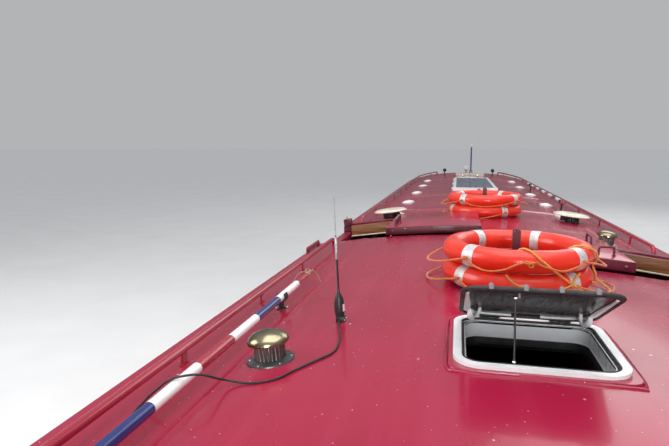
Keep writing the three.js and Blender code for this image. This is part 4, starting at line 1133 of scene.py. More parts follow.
def makeSkylightLid():
    s = skylight
    hinge = moved(s["hinge"][0], at(s["hinge"][1]), s["hinge"][2])
    place = hinge @ spun(-s["open"], "X")
    low, half, long = s["lidLow"], s["lidHalf"], s["long"]
    bm = bmesh.new()
    # rim: a soft black edge, rounded, that swells up to the domed pane
    section = mm((11, 0.2), (6, 0), (2.5, 1.2), (0.3, 4.5), (1.2, 8), (4, 10.5), (10, 12.5), (18, 13.8),
                 (22, 13.2), (21.5, 8.8), (13.5, 6.8), (11.5, 4))
    loops = []
    for inset, rise in section:
        outline = roundedOutline(-half + inset, half - inset, -long + inset, -0.002 - inset,
                                 0.05 - inset * 0.8, 10)
        loops.append([place @ Vector((x, y, low + rise)) for x, y in outline])
    loft(bm, loops, 0, closed=True)
    rows = []
    for inset, rise in ((0.0125, 0.0062), (0.035, 0.0085), (0.07, 0.0108), (0.11, 0.0122), (0.15, 0.0128)):
        outline = roundedOutline(-half + inset, half - inset, -long + inset, -0.002 - inset,
                                 max(0.006, 0.05 - inset * 0.8), 10)
        rows.append([place @ Vector((x, y, low + rise)) for x, y in outline])
    thick = (place.to_3x3() @ Vector((0, 0, 1))) * 0.004
    loft(bm, rows, 2)
    loft(bm, [[p + thick for p in row] for row in reversed(rows)], 2)
    for side in (-1, 1):     # white inner frame, round the two corners by the hinge
        x = half - 0.0175
        corner = [(x + 0.002, -0.285), (x + 0.001, -0.22), (x, -0.15), (x, -0.1), (x - 0.002, -0.072),
                  (x - 0.012, -0.05), (x - 0.03, -0.034), (x - 0.055, -0.027), (x - 0.09, -0.0245),
                  (x - 0.118, -0.0235)]
        line = smoothLine([(side * a, b, low + 0.0045) for a, b in corner], 0.006)
        rings = []
        for i, p in enumerate(line):
            ahead = (line[min(i + 1, len(line) - 1)] - line[max(i - 1, 0)]).normalized()
            out = Vector((ahead.y, -ahead.x, 0))
            wide = 0.0045 + 0.0062 * math.sin(math.pi * i / (len(line) - 1)) ** 2
            rings.append([place @ (p + out * (wide * math.cos(k * math.pi / 6))
                                   + Vector((0, 0, 0.0034 * math.sin(k * math.pi / 6))))
                          for k in range(12)])
        loft(bm, rings, 1)
    for x in (-0.108, -0.036, 0.036, 0.108):     # lugs on the free edge
        block(bm, (x - 0.0055, -long - 0.0005, low + 0.003), (x + 0.0055, -long + 0.012, low + 0.0155),
              3, 0.002, place)
        block(bm, (x - 0.0025, -long + 0.003, low + 0.011), (x + 0.0025, -long + 0.0115, low + 0.0185),
              3, 0.001, place)
    for side in (-1, 1):     # bent white arms beside the hinge, with their pivots
        x = side * (half - 0.04)
        arm = [(x + side * 0.012, -0.09, low + 0.003), (x + side * 0.012, -0.082, low - 0.008),
               (x + side * 0.01, -0.062, low - 0.0125), (x + side * 0.004, -0.045, low - 0.0085),
               (x, -0.035, low + 0.002)]
        tube(bm, [place @ p for p in smoothLine(arm, 0.005)],
             lambda t: 0.0056 + 0.003 * math.sin(math.pi * t), 1, 14)
        arm = [(x - side * 0.012, -0.1, low + 0.004), (x - side * 0.01, -0.086, low - 0.006),
               (x - side * 0.004, -0.062, low - 0.0095)]
        tube(bm, [place @ p for p in smoothLine(arm, 0.005)], 0.0042, 1, 12)
        for y, z in ((-0.09, 0.0005), (-0.036, 0.0)):
            turn(bm, mm((0, -4), (4.2, -3.5), (4.8, 0), (4.2, 3.5), (0, 4)),
                 place @ moved(x + side * 0.012, y, low + z), 5, 14)
    for x in (-0.09, 0.09):     # hinge barrels
        barrel(bm, lambda d: hinge @ Vector((x + d, 0, 0)), 0.0275, 0.0113, 0.0098, 4, 24)
        turn(bm, mm((4, 0), (3.6, 1), (0, 1.5)),
             hinge @ moved(x + 0.0275, 0, 0) @ spun(90, "Y"), 5, 12)
    # catch that the stay hangs from
    block(bm, (-0.0505, -0.315, low - 0.0095), (-0.0455, -0.303, low + 0.01), 3, 0.001, place)
    piece("skylightLid", bm, ["blackRubber", "frameWhite", "smokedPane", "lugGrey", "satinBlack",
                              "brightSteel"], body="skylight_lid",
          stands=["skylight_lid"])


def makeStay():
    low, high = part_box("skylight_stay")
    x = (low.x + high.x) / 2
    head, foot = Vector((x, high.y - 0.0042, high.z - 0.0042)), Vector((x, low.y + 0.0042, low.z + 0.0042))
    bm = bmesh.new()
    tube(bm, [foot.lerp(head, t) for t in (0, 0.02, 0.05, 0.5, 0.95, 0.98, 1)],
         lambda t: 0.0036 if t < 0.06 or t > 0.94 else 0.0023, 0, 16)
    for end in (head, foot):
        turn(bm, mm((0, -4), (2.6, -3.6), (3.8, -2), (3.8, 2), (2.6, 3.6), (0, 4)),
             Matrix.Translation(end) @ spun(90, "Y"), 1, 16)
    piece("skylightStay", bm, ["satinBlack", "brightSteel"], body="skylight_stay",
          stands=["skylight_stay"])


makeSkylightFrame()
makeSkylightLid()
makeStay()
print("skylight ready")

# Lifebuoys: glossy moulded rings with a seam, reflective bands and grab lines

def ringSkin():
    material, tree = newFinish("buoySkin", coat=0.45, coatRough=0.16, specular=0.4)
    fresh, faded = (0.78, 0.02, 0.006), (0.84, 0.045, 0.016)
    base = blendColour(tree, between(tree, grain(tree, 6, detail=5), 0.35, 0.7), fresh, faded)
    dirty = blendColour(tree, between(tree, grain(tree, 17, (1, 1, 2), 6), 0.56, 0.8, 0, 0.55), base,
                        (0.36, 0.07, 0.035))
    scuffs = blendColour(tree, specks(tree, 42, 0.2, 0.07), dirty, (0.3, 0.12, 0.08))
    rough = between(tree, grain(tree, 22, detail=5), 0.3, 0.7, 0.28, 0.5)
    return finished(material, scuffs, rough, grain(tree, 46, detail=4), 0.0016, 0.35, coat=True)


def reflectiveTape():
    material, tree = newFinish("reflectiveTape", metal=0.35, specular=0.6)
    cells = addNode(tree, "TexVoronoi", {"Scale": 160, "Vector": surfacePlace(tree)},
                    feature="DISTANCE_TO_EDGE")
    edges = between(tree, cells.outputs["Distance"], 0.02, 0.1)
    base = blendColour(tree, edges, (0.45, 0.45, 0.46), (0.8, 0.8, 0.79))
    stained = blendColour(tree, between(tree, grain(tree, 30, detail=5), 0.48, 0.7, 0, 0.6), base,
                          (0.42, 0.33, 0.27))
    rough = between(tree, grain(tree, 40, detail=3), 0.3, 0.7, 0.3, 0.5)
    return finished(material, stained, rough, edges, 0.0003, 0.5)


ringSkin()
reflectiveTape()
twine("orangeRope", (0.85, 0.23, 0.03), (0.45, 0.09, 0.02))
twine("yellowRope", (0.9, 0.45, 0.05), (0.5, 0.2, 0.03))
twine("oliveRope", (0.3, 0.24, 0.1), (0.12, 0.09, 0.05))
buoys = {
    "middle": 0.217, "fat": 0.0372, "proud": 0.0007, "around": 120, "section": 36,
    # node, stack, level, bearings of its bands (0 is starboard, 90 is forward)
    "each": [("lifebuoy_1", 0, 0, (219, 311, 41, 131)), ("lifebuoy_2", 0, 1, (227, 318, 64, 127)),
             ("lifebuoy_3", 1, 0, (205, 300, 28, 118)), ("lifebuoy_4", 1, 1, (232, 322, 52, 142)),
             ("lifebuoy_5", 2, 0, (215, 305, 35, 125))],
}


def makeBuoy(node, stack, level, bands):
    low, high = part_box(node)
    centre = (low + high) / 2
    around, section = buoys["around"], buoys["section"]
    rng = random.Random(level * 10 + stack)
    turned = rng.uniform(0, 6.28)
    bearings = sorted({i * 360 / around for i in range(around)}
                      | {b + d for b in bands for d in (-5.3, -5.1, -4.9, 4.9, 5.1, 5.3)})
    rings, mats = [], []
    for bearing in bearings:
        angle = math.radians(bearing)
        fromBand = min(abs((bearing - b + 180) % 360 - 180) for b in bands)
        onBand = fromBand <= 5.0
        thick = buoys["fat"] + (buoys["proud"] if onBand else 0)
        thick -= 0.0009 * max(0, math.cos(math.radians(bearing * 9) + turned)) * (0 if onBand else 1)
        out = Vector((math.cos(angle), math.sin(angle), 0))
        hub = centre + out * buoys["middle"]
        ring = []
        for i in range(section):
            lap = 2 * math.pi * i / section
            seam = 0.0007 if i in (0, section // 2) and not onBand else 0
            ring.append(hub + out * ((thick + seam) * math.cos(lap))
                        + Vector((0, 0, thick * math.sin(lap))))
        rings.append(ring)
        mats.append(1 if onBand else 0)
    bm = bmesh.new()
    loft(bm, rings, lambda k: 1 if mats[k] and mats[(k + 1) % len(mats)] else 0, closed=True)
    piece("ring" + node.split("_")[1], bm, ["buoySkin", "reflectiveTape"], stands=[node])


for entry in buoys["each"]:
    makeBuoy(*entry)


def layRope(bm, points, radius):
    # three strands laid up: a ring with three lobes that turns as it goes
    line = smoothLine(points, 0.0042)
    tube(bm, line, radius * 0.86, 0, 12)
    bm.verts.ensure_lookup_table()
    made = bm.verts[-12 * len(line):]
    for k, centre in enumerate(line):
        for i in range(12):
            lobe = 1 + 0.16 * math.cos(3 * (2 * math.pi * i / 12 + k * 0.42))
            vert = made[12 * k + i]
            vert.co = centre + (vert.co - centre) * lobe


def roundStack(stack, points):
    x, station = stacks[stack][:2]
    made = []
    for bearing, radius, height in points:
        angle = math.radians(bearing)
        px, py = x + radius * math.cos(angle), at(station) + radius * math.sin(angle)
        made.append((px, py, max(roofZ(px) + 0.0034, roof["crown"] + height)))
    return made


ropes = {
    "radius": 0.0039,
    # name, stack, colour, and along the rope: bearing, distance from the middle and height in mm
    "each": [
        ("grabLineUpperPort", 0, "orangeRope", [(227, 258.5, 112), (217, 266, 100), (206, 285, 86),
            (194, 301, 76), (181, 307, 72), (168, 300, 76), (155, 284, 86), (141, 268, 100),
            (128, 258.5, 112)]),
        ("grabLineUpperNear", 0, "orangeRope", [(228, 258.5, 110), (236, 260.8, 92), (246, 260.5, 84),
            (257, 259, 94), (266, 258.5, 114), (274, 259, 122), (284, 260.5, 108), (296, 260.8, 94),
            (308, 259, 101), (318, 258.5, 112)]),
        ("grabLineUpperStarboard", 0, "orangeRope", [(319, 258.5, 112), (332, 266, 100), (346, 284, 83),
            (0, 292, 74), (16, 290, 80), (32, 278, 92), (48, 266, 104), (63, 258.5, 113)]),
        ("grabLineUpperFar", 0, "orangeRope", [(65, 258.5, 113), (78, 264, 100), (92, 268, 95),
            (108, 266, 100), (126, 258.5, 112)]),
        ("grabLineLowerPort", 0, "orangeRope", [(219, 258.5, 36), (209, 266, 26), (198, 288, 13),
            (186, 304, 3.2), (174, 310, 3.2), (162, 303, 3.2), (150, 285, 12), (140, 268, 26),
            (132, 258.5, 36)]),
        ("grabLineLowerNear", 0, "orangeRope", [(220, 258.5, 34), (230, 262, 18), (241, 275, 3.2),
            (253, 284, 3.2), (266, 283, 3.2), (278, 272, 12), (290, 260.5, 22), (301, 259, 32),
            (311, 258.5, 37)]),
        ("grabLineLowerStarboard", 0, "orangeRope", [(312, 258.5, 37), (322, 266, 22), (333, 288, 3.2),
            (345, 312, 3.2), (357, 318, 3.2), (8, 305, 3.2), (20, 285, 10), (31, 266, 26),
            (40, 258.5, 37)]),
        ("throwLineOver", 0, "yellowRope", [(262, 177, 114), (266, 190, 144), (270, 212, 155.5),
            (275, 234, 152), (280, 254.5, 133), (285, 258.5, 114), (291, 258, 93), (297, 248.5, 76),
            (303, 257.2, 55), (310, 259.5, 36), (318, 262, 18), (327, 278, 3.2), (337, 300, 3.2),
            (347, 302, 3.2), (353, 285, 12), (354, 261.5, 32), (352, 258.5, 50), (350, 248.5, 76),
            (346, 258, 100), (340, 258, 128), (333, 238, 150), (327, 214, 155.5), (324, 190, 144),
            (323, 177, 114)]),
        ("throwLineNear", 0, "yellowRope", [(258, 248.5, 76), (262, 257, 58), (268, 259, 44),
            (277, 259.5, 33), (288, 259.5, 30), (298, 259, 36), (306, 258.5, 50), (311, 250, 66),
            (316, 248.2, 76)]),
        ("grabLineSecondPort", 1, "orangeRope", [(232, 258.5, 112), (219, 268, 96), (204, 290, 80),
            (187, 301, 70), (170, 295, 74), (156, 275, 90), (142, 258.5, 112)]),
        ("grabLineSecondNear", 1, "orangeRope", [(233, 258.5, 112), (246, 262, 90), (260, 260.8, 80),
            (274, 261, 80), (290, 262, 86), (306, 262, 100), (322, 258.5, 112)]),
        ("grabLineSecondStarboard", 1, "orangeRope", [(323, 258.5, 112), (338, 268, 94), (355, 288, 78),
            (14, 288, 76), (34, 270, 92), (52, 258.5, 112)]),
        ("grabLineSecondLow", 1, "orangeRope", [(205, 258.5, 36), (216, 270, 16), (230, 290, 3.2),
            (248, 296, 3.2), (264, 285, 3.2), (280, 268, 16), (300, 258.5, 36)]),
        ("grabLineSecondLowPort", 1, "orangeRope", [(204, 258.5, 36), (192, 270, 16), (178, 292, 3.2),
            (160, 296, 3.2), (140, 275, 14), (118, 258.5, 36)]),
        ("grabLineThird", 2, "orangeRope", [(215, 258.5, 36), (228, 268, 16), (245, 288, 3.2),
            (262, 292, 3.2), (280, 280, 6), (294, 266, 20), (305, 258.5, 36)]),
        ("grabLineThirdPort", 2, "orangeRope", [(214, 258.5, 36), (200, 270, 14), (184, 294, 3.2),
            (166, 296, 3.2), (146, 275, 14), (125, 258.5, 36)]),
    ],
}


def makeRopes():
    for name, stack, colour, points in ropes["each"]:
        bm = bmesh.new()
        layRope(bm, roundStack(stack, [(b, d / 1000, h / 1000) for b, d, h in points]), ropes["radius"])
        piece(name, bm, [colour], sharp=60)
    bm = bmesh.new()
    # seizings where the lines meet the rings, and two knots
    for _, stack, level, bands in buoys["each"]:
        for bearing in bands:
            height = ringSize["thick"] / 2 + level * ringSize["thick"]
            coil = []
            for i in range(49):
                lap = 2 * math.pi * i / 12
                coil.append((bearing - 1.6 + 3.2 * i / 48, 0.2585 + 0.0046 * math.cos(lap),
                             height + 0.0046 * math.sin(lap)))
            tube(bm, roundStack(stack, coil), 0.0016, 0, 6)
    for bearing, radius, height in ((274, 0.2625, 0.118), (291, 0.2635, 0.026), (333, 0.262, 0.036)):
        knot = []
        for i in range(40):
            t = 2 * math.pi * i / 40
            knot.append((bearing + 2.3 * (math.sin(t) + 1.2 * math.sin(2 * t)),
                         radius + 0.0034 * (1 - math.sin(3 * t) * 0.9),
                         height + 0.0085 * (math.cos(t) - 1.1 * math.cos(2 * t)) * 0.55))
        tube(bm, smoothLine(roundStack(0, knot), 0.004, True), 0.0028, 1 if bearing == 291 else 0, 8, True)
    piece("ropeSeizings", bm, ["orangeRope", "oliveRope"], sharp=60)


makeRopes()
print("lifebuoys ready")

# Side hatches: curved lids with staples, header boards of varnished wood, and the wells' trim

def varnishedWood(name, light, dark, stretch):
    material, tree = newFinish(name, coat=0.7, coatRough=0.12)
    rays = grain(tree, 5, stretch, 6, 0.6)
    values = {"Scale": 0.9, "Distortion": 5, "Detail": 3, "Vector": surfacePlace(tree, stretch)}
    bands = addNode(tree, "TexWave", values, wave_type="RINGS")
    plain = blendColour(tree, between(tree, rays, 0.3, 0.7), dark, light)
    figured = blendColour(tree, between(tree, bands.outputs["Fac"], 0.3, 0.9, 0, 0.5), plain, dark)
    return finished(material, figured, between(tree, rays, 0.3, 0.7, 0.26, 0.42), rays, 0.0005, 0.3)


varnishedWood("varnishedWood", (0.36, 0.15, 0.055), (0.14, 0.05, 0.02), (1, 14, 14))
varnishedWood("doorWood", (0.34, 0.15, 0.06), (0.13, 0.05, 0.02), (14, 14, 1))
hatches = {
    "inner": 0.024, "outer": 0.55, "thick": 0.045, "setback": 0.045, "knuckle": 0.0085,
    # side, well's aft and fore station, staples as (x, station, across)
    "port": (-1, 2.99, 3.68, ((0.5, 3.13, False), (0.5, 3.29, False))),
    "starboard": (1, 2.285, 2.865, ((0.455, 2.41, True), (0.455, 2.725, False))),
}


def makeLid(name):
    side, aft, fore, staples = hatches[name]
    aft, fore = aft + hatches["setback"], fore - 0.003
    bm = bmesh.new()
    across = [hatches["inner"] + (hatches["outer"] - hatches["inner"]) * i / 16 for i in range(17)]
    bar(bm, side, overRoof(side, across, 0.0006, hatches["thick"]), aft, fore, 0.004, 3)
    # the aft-facing end faces take the dark maroon as painted shade; the lid's top stays crimson
    for face in bm.faces:
        face.material_index = 1 if face.normal.y < -0.7 else 0
    y = at(aft)
    spot = moved(side * 0.515, y, roofZ(0.515) + 0.021) @ spun(90, "X")
    turn(bm, mm((8.5, -1), (8.5, 1), (6.2, 1.4), (6, 4.8), (4.5, 5.6), (0, 5.6)), spot, 1, 24)
    for x, station, acrossRoof in staples:
        foot = roofZ(x) + hatches["thick"] - 0.004
        reach = 0.03 if acrossRoof else 0.045
        loop = [(-1, 0), (-1, 0.022), (-0.97, 0.032), (-0.85, 0.0385), (-0.5, 0.04), (0, 0.04), (0.5, 0.04),
                (0.85, 0.0385), (0.97, 0.032), (1, 0.022), (1, 0)]
        points = [(side * x + reach * t, at(station), foot + rise) if acrossRoof else
                  (side * x, at(station) + reach * t, foot + rise) for t, rise in loop]
        tube(bm, smoothLine(points, 0.005), 0.0048, 1, 14)
        for end in (points[0], points[-1]):
            turn(bm, mm((9, 3.5), (8.6, 5.5), (6, 6.8)), Matrix.Translation(end), 1, 18)
    hinge = Vector((side * (hatches["inner"] - 0.006), 0, roof["crown"] + 0.0003 + hatches["knuckle"]))
    low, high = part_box("hatch_lid_" + name)
    for share in (0.14, 0.5, 0.86):
        y = low.y + (high.y - low.y) * share
        barrel(bm, lambda d: (hinge.x, y + d, hinge.z), 0.034, 0.0083, 0.0074, 1)
        block(bm, (side * 0.02 - 0.012, y - 0.032, roof["crown"] + 0.004),
              (side * 0.02 + 0.016, y + 0.032, roof["crown"] + 0.008), 1, 0.001, moved(side * 0.006, 0, 0))
    piece("lid" + name.capitalize(), bm, ["roofCrimson", "maroonTrimAndShade"], body="hatch_lid_" + name,
          stands=["hatch_lid_" + name])


def makeHeader(name):
    side, _, fore, _ = hatches[name]
    bm = bmesh.new()
    across = [0.0345 + (0.87 - 0.0345) * i / 20 for i in range(21)]
    bar(bm, side, overRoof(side, across, -0.0795, -0.0012), fore - 0.0215, fore - 0.0005, 0.002, 2)
    bead = [(side * x, at(fore) - 0.0195, roofZ(x) - 0.073) for x in across[1:]]
    tube(bm, bead, 0.0045, 1, 10)
    piece("header" + name.capitalize(), bm, ["varnishedWood", "creamPaint"],
          stands=["hatch_header_" + name])


for hatchName in ("port", "starboard"):
    makeLid(hatchName)
    makeHeader(hatchName)

# Well trim: a raised angle along each well's fore edge, an end block at the corner, a hook and a grab handle

wellTrim = {"angles": ((-1, 3.683), (1, 2.868)), "inner": 0.56,
    "handles": ((-1, 2.7, 2.93), (1, 2.02, 2.25)), "blocks": ((-0.9, 3.7, 0.046), (0.9, 2.9, 0.04)),
    "hook": (-0.9, 3.69)}


def makeWellTrim():
    bm = bmesh.new()
    inner, steps = wellTrim["inner"], 16
    for side, station in wellTrim["angles"]:
        across = [inner + (0.925 - inner) * i / steps for i in range(steps + 1)]
        bar(bm, side, overRoof(side, across, -0.001, 0.012), station, station + 0.03, 0.003, 3)
    for x, station, high in wellTrim["blocks"]:
        block(bm, (-0.026, -0.03, -0.002), (0.026, 0.03, high), 0, 0.004, onRoof(x, station), 3)
    for side, aft, fore in wellTrim["handles"]:
        x = side * 0.912
        z = roofZ(x)
        y0, y1 = at(aft), at(fore)
        outline = [(y0, z - 0.03), (y0 + 0.014, z - 0.03), (y0 + 0.018, z + 0.008), (y1 - 0.018, z + 0.008),
                   (y1 - 0.014, z - 0.03), (y1, z - 0.03), (y1 - 0.006, z + 0.02), (y0 + 0.006, z + 0.02)]
        place = acrossBoat(x + side * 0.008)
        slab(bm, outline, -0.009, 0.009, 0, 0.003, place)
        tube(bm, [(x + side * 0.008, at(aft) + 0.004, z + 0.0225),
                  (x + side * 0.008, at(fore) - 0.004, z + 0.0225)], 0.0065, 1, 14)
    hook = mm((0, 0, 44), (0, -2, 56), (0, -8, 64), (0, -16, 62), (0, -18, 54))
    place = onRoof(*wellTrim["hook"])
    tube(bm, smoothLine([place @ Vector(p) for p in hook], 0.003), 0.0028, 2, 10)
    piece("wellTrim", bm, ["maroonTrimAndShade", "railCrimson", "agedBrass"])


makeWellTrim()
print("side hatches ready")

# Antenna: clamp foot, black housing with a bare label, a stepped whip

evenPaint("whipGrey", (0.5, 0.51, 0.53), 0.3, 0.08, 0.7, scale=40)
antenna = {"x": -0.476, "station": 1.466, "lean": 3.1,
           "profile": mm((0, -8), (8.5, -8), (8.8, 4), (11, 6), (12.5, 12), (12.8, 20), (13.8, 24),
                         (14.8, 34), (14.9, 43), (14.2, 53), (12, 66), (11.5, 69.5), (7.5, 78), (4, 86),
                         (3.2, 92), (2.9, 100), (2.9, 178), (3.4, 181), (4.3, 184), (4.3, 239), (3.6, 242),
                         (2, 245), (1.7, 250), (1.4, 350), (1.9, 353), (2.1, 357), (1.5, 360), (0, 361))}


def makeAntenna():
    x = antenna["x"]
    place = moved(x, at(antenna["station"]), roofZ(x)) @ spun(-antenna["lean"], "Y")
    bm = bmesh.new()
    block(bm, (-0.0098, -0.0138, -0.006), (0.0155, 0.0135, 0.0155), 0, 0.0025, place, 3)
    turn(bm, antenna["profile"], place, lambda k: 1 if 17 <= k <= 20 or k >= 22 else 0, 32)
    for y in (-0.0085, 0.0085):
        spot = place @ moved(0.0155, y, 0.006) @ spun(90, "Y")
        turn(bm, mm((2.8, 0), (2.6, 0.8), (0, 1)), spot, 2, 12)
    label = []
    for height in (0.031, 0.0315, 0.051, 0.0515):
        reach = 0.0152 if height in (0.0315, 0.051) else 0.0146
        label.append([place @ Vector((reach * math.cos(math.radians(a)),
                                      reach * math.sin(math.radians(a)), height))
                      for a in range(322, 366, 4)])
    rows = [[bm.verts.new(p) for p in row] for row in label]
    for low, high in zip(rows, rows[1:]):
        for i in range(len(low) - 1):
            face = bm.faces.new((low[i], low[i + 1], high[i + 1], high[i]))
            face.material_index = 3
    piece("radioAntenna", bm, ["satinBlack", "whipGrey", "brightSteel", "frameWhite"],
          stands=["antenna"], turnFaces=False)


makeAntenna()

# Gear on the fore roof: solar panel, low box, tunnel lamp, side lights and the mast

def solarGlaze():
    material, tree = newFinish("solarGlaze", coat=0.9, coatRough=0.05, specular=0.5)
    tint = between(tree, grain(tree, 3, detail=3), 0.35, 0.65)
    base = blendColour(tree, tint, (0.3, 0.34, 0.4), (0.42, 0.46, 0.5))
    dusty = blendColour(tree, between(tree, grain(tree, 12, detail=6), 0.5, 0.75, 0, 0.5), base,
                        (0.6, 0.6, 0.58))
    rough = between(tree, grain(tree, 20, detail=4), 0.3, 0.7, 0.18, 0.36)
    return finished(material, dusty, rough, grain(tree, 240, detail=2), 0.0001, 0.3)


solarGlaze()
evenPaint("solarCell", (0.16, 0.2, 0.29), 0.25, 0.2, 0.2, 0.6, 12)
evenPaint("lampWhite", (0.8, 0.8, 0.79), 0.3, 0.08, coat=0.4, scale=30)
glass, tree = newFinish("lampGlass", colour=(0.85, 0.87, 0.88), coat=1.0, coatRough=0.03, ior=1.5)
finished(glass, None, between(tree, grain(tree, 30, detail=3), 0.3, 0.7, 0.05, 0.16),
         grain(tree, 120, (1, 0.1, 1)), 0.0008, 0.5)
foreGear = {
    "panel": {"x": (-0.205, 0.255), "stations": (5.99, 7.99), "top": 1.994, "cells": (3, 13)},
    "box": {"x": (-0.195, 0.245), "stations": (8.75, 9.25), "top": 2.0},
    "lamp": {"x": -0.02, "height": 0.078},
    "sideLights": {"station": 10.095},
    "mast": {"foot": 1.984, "top": 2.48},
}


def makeSolarPanel():
    p = foreGear["panel"]
    (x0, x1), (s0, s1), top = p["x"], p["stations"], p["top"]
    bm = bmesh.new()
    inner = rectangle(x0 + 0.028, x1 - 0.028, at(s0) + 0.028, at(s1) - 0.028)
    slab(bm, rectangle(x0, x1, at(s0), at(s1)), 1.958, top, 0, 0.002, hole=inner)
    block(bm, (x0 + 0.02, at(s0) + 0.02, top - 0.012), (x1 - 0.02, at(s1) - 0.02, top - 0.004), 1, 0)
    across, along = p["cells"]
    wide, deep = (x1 - x0 - 0.064) / across, (s1 - s0 - 0.064) / along
    for i in range(across):
        for j in range(along):
            cx, cy = x0 + 0.032 + wide * (i + 0.5), at(s0) + 0.032 + deep * (j + 0.5)
            outline = [(cx + sx * (wide / 2 - d), cy + sy * (deep / 2 - e)) for sx, sy, d, e in (
                (-1, -1, 0.012, 0.003), (1, -1, 0.012, 0.003), (1, -1, 0.003, 0.012), (1, 1, 0.003, 0.012),
                (1, 1, 0.012, 0.003), (-1, 1, 0.012, 0.003), (-1, 1, 0.003, 0.012), (-1, -1, 0.003, 0.012))]
            slab(bm, outline, top - 0.0045, top - 0.0035, 2, 0)
    for y in (at(s0) + 0.2, at(s1) - 0.2, at((s0 + s1) / 2)):
        for side in (-1, 1):
            x = x1 if side > 0 else x0
            block(bm, (x - 0.012 if side > 0 else x - 0.018, y - 0.03, roofZ(x) - 0.001),
                  (x + 0.018 if side > 0 else x + 0.012, y + 0.03, top - 0.012), 0, 0.002)
    piece("solarArray", bm, ["frameWhite", "solarGlaze", "solarCell"],
          stands=["solar_panel"])


def makeForeBox():
    p = foreGear["box"]
    (x0, x1), (s0, s1), top = p["x"], p["stations"], p["top"]
    bm = bmesh.new()
    slab(bm, roundedOutline(x0 + 0.008, x1 - 0.008, at(s0) + 0.008, at(s1) - 0.008, 0.02, 5), 1.954,
         top - 0.012, 0, 0.003)
    slab(bm, roundedOutline(x0, x1, at(s0), at(s1), 0.025, 6), top - 0.016, top, 0, 0.005, steps=3)
    for x in (x0 + 0.11, x1 - 0.11):
        block(bm, (x - 0.022, at(s0) - 0.0005, top - 0.03),
              (x + 0.022, at(s0) + 0.006, top - 0.006), 1, 0.0015)
        tube(bm, [(x - 0.024, at(s1) - 0.001, top - 0.018), (x + 0.024, at(s1) - 0.001, top - 0.018)],
             0.005, 1, 12)
    piece("gasTray", bm, ["creamPaint", "brightSteel"], stands=["fore_box"])


def makeTunnelLamp():
    p = foreGear["lamp"]
    bm = bmesh.new()
    low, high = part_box("tunnel_lamp")
    centre = Vector((p["x"], 0, roofZ(p["x"]) + p["height"]))
    place = moved(centre.x, high.y, centre.z) @ spun(90, "X")
    shell = mm((0, 69.5), (12, 68.8), (24, 65.5), (33, 58), (38, 46), (40, 30), (40.5, 12), (41.8, 10.5),
               (42, 6), (41.2, 1), (39, 0), (37, 2))
    turn(bm, shell, place, 0, 48)
    turn(bm, mm((37, 2), (30, 4.5), (16, 6.2), (0, 6.8)), place, 1, 48)
    turn(bm, mm((0, -1), (24, -1), (24, 4), (20, 6), (8, 9), (7.5, 34), (11, 36.5), (0, 38)),
         moved(p["x"], (low.y + high.y) / 2, roofZ(p["x"])), 2, 28)
    cable = [(p["x"], low.y + 0.012, centre.z - 0.03), (p["x"], low.y + 0.004, centre.z - 0.055),
             (p["x"], low.y + 0.008, roofZ(p["x"]) + 0.003)]
    tube(bm, smoothLine(cable, 0.006), 0.003, 2, 10)
    piece("headLamp", bm, ["lampWhite", "lampGlass", "satinBlack"],
          stands=["tunnel_lamp"])
    for name in sideWord.values():
        low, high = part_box("side_light_" + name.lower())
        middle = (low + high) / 2
        bm = bmesh.new()
        turn(bm, mm((0, -4), (20, -4), (20, 4), (9, 6), (8.5, 34)),
             onRoof(middle.x, foreGear["sideLights"]["station"]), 1, 24)
        top = high.z
        place = moved(middle.x, high.y, top - 0.032) @ spun(90, "X")
        turn(bm, mm((0, 69.5), (20, 69), (28, 65), (31, 55), (31.5, 20), (32, 12), (31.8, 2), (30, 0),
                    (27.5, 2)), place, 0, 36)
        turn(bm, mm((27.5, 2), (20, 4.5), (0, 6.5)), place, 2, 36)
        piece("sideLamp" + name, bm, ["satinBlack", "maroonTrimAndShade", "lampGlass"],
              stands=["side_light_" + name.lower()])


def makeMast():
    foot, top = foreGear["mast"]["foot"], foreGear["mast"]["top"]
    place = moved(mastStep["x"], at(mastStep["station"]), 0)
    bm = bmesh.new()
    post = [(0, foot + 0.001), (0.0105, foot + 0.001), (0.012, foot + 0.003), (0.012, foot + 0.42),
            (0.0105, foot + 0.43), (0.0105, top - 0.06), (0.012, top - 0.056), (0.0125, top - 0.046),
            (0.02, top - 0.038), (0.02, top - 0.012), (0.017, top - 0.006), (0.009, top - 0.001), (0, top)]
    turn(bm, post, place, lambda k: 1 if k >= 6 else 0, 32)
    pin = place @ moved(-0.0265, 0, roof["crown"] + mastStep["pivot"]) @ spun(90, "Y")
    turn(bm, mm((0, -4), (7.5, -4), (7.5, -0.5), (4.5, 0), (4.5, 53), (7.5, 53.5), (7.5, 57), (0, 57)),
         pin, 2, 20)
    for z in (foot + 0.1, foot + 0.3):
        turn(bm, [(0.0118, z - 0.006), (0.0119, z - 0.005), (0.0119, z + 0.005), (0.0118, z + 0.006)],
             place, 2, 32)
    piece("foldingMast", bm, ["navyBandPaint", "lampWhite", "brightSteel"], body="mast",
          stands=["mast"])


makeSolarPanel()
makeForeBox()
makeTunnelLamp()
makeMast()
print("fore roof ready")

# Hull: smooth plated shell, rooms and wells cut out, guard irons along the sides, bands round the counter

def hullPaint():
    material, tree = newFinish("hullBlack", specular=0.5)
    base = blendColour(tree, between(tree, grain(tree, 1.6, (1, 0.5, 1.5), 6), 0.35, 0.7),
                       (0.012, 0.012, 0.014), (0.035, 0.035, 0.038))
    scuffed = blendColour(tree, between(tree, grain(tree, 5, (1, 0.25, 4), 7, 0.65), 0.6, 0.78, 0, 0.7),
                          base, (0.1, 0.09, 0.085))
    rust = blendColour(tree, between(tree, grain(tree, 9, (1, 0.5, 1), 8, 0.7), 0.67, 0.8, 0, 0.8), scuffed,
                       (0.16, 0.06, 0.03))
    rough = between(tree, grain(tree, 6, detail=6), 0.3, 0.7, 0.36, 0.62)
    return finished(material, rust, rough, grain(tree, 34, detail=5), 0.0012, 0.5)


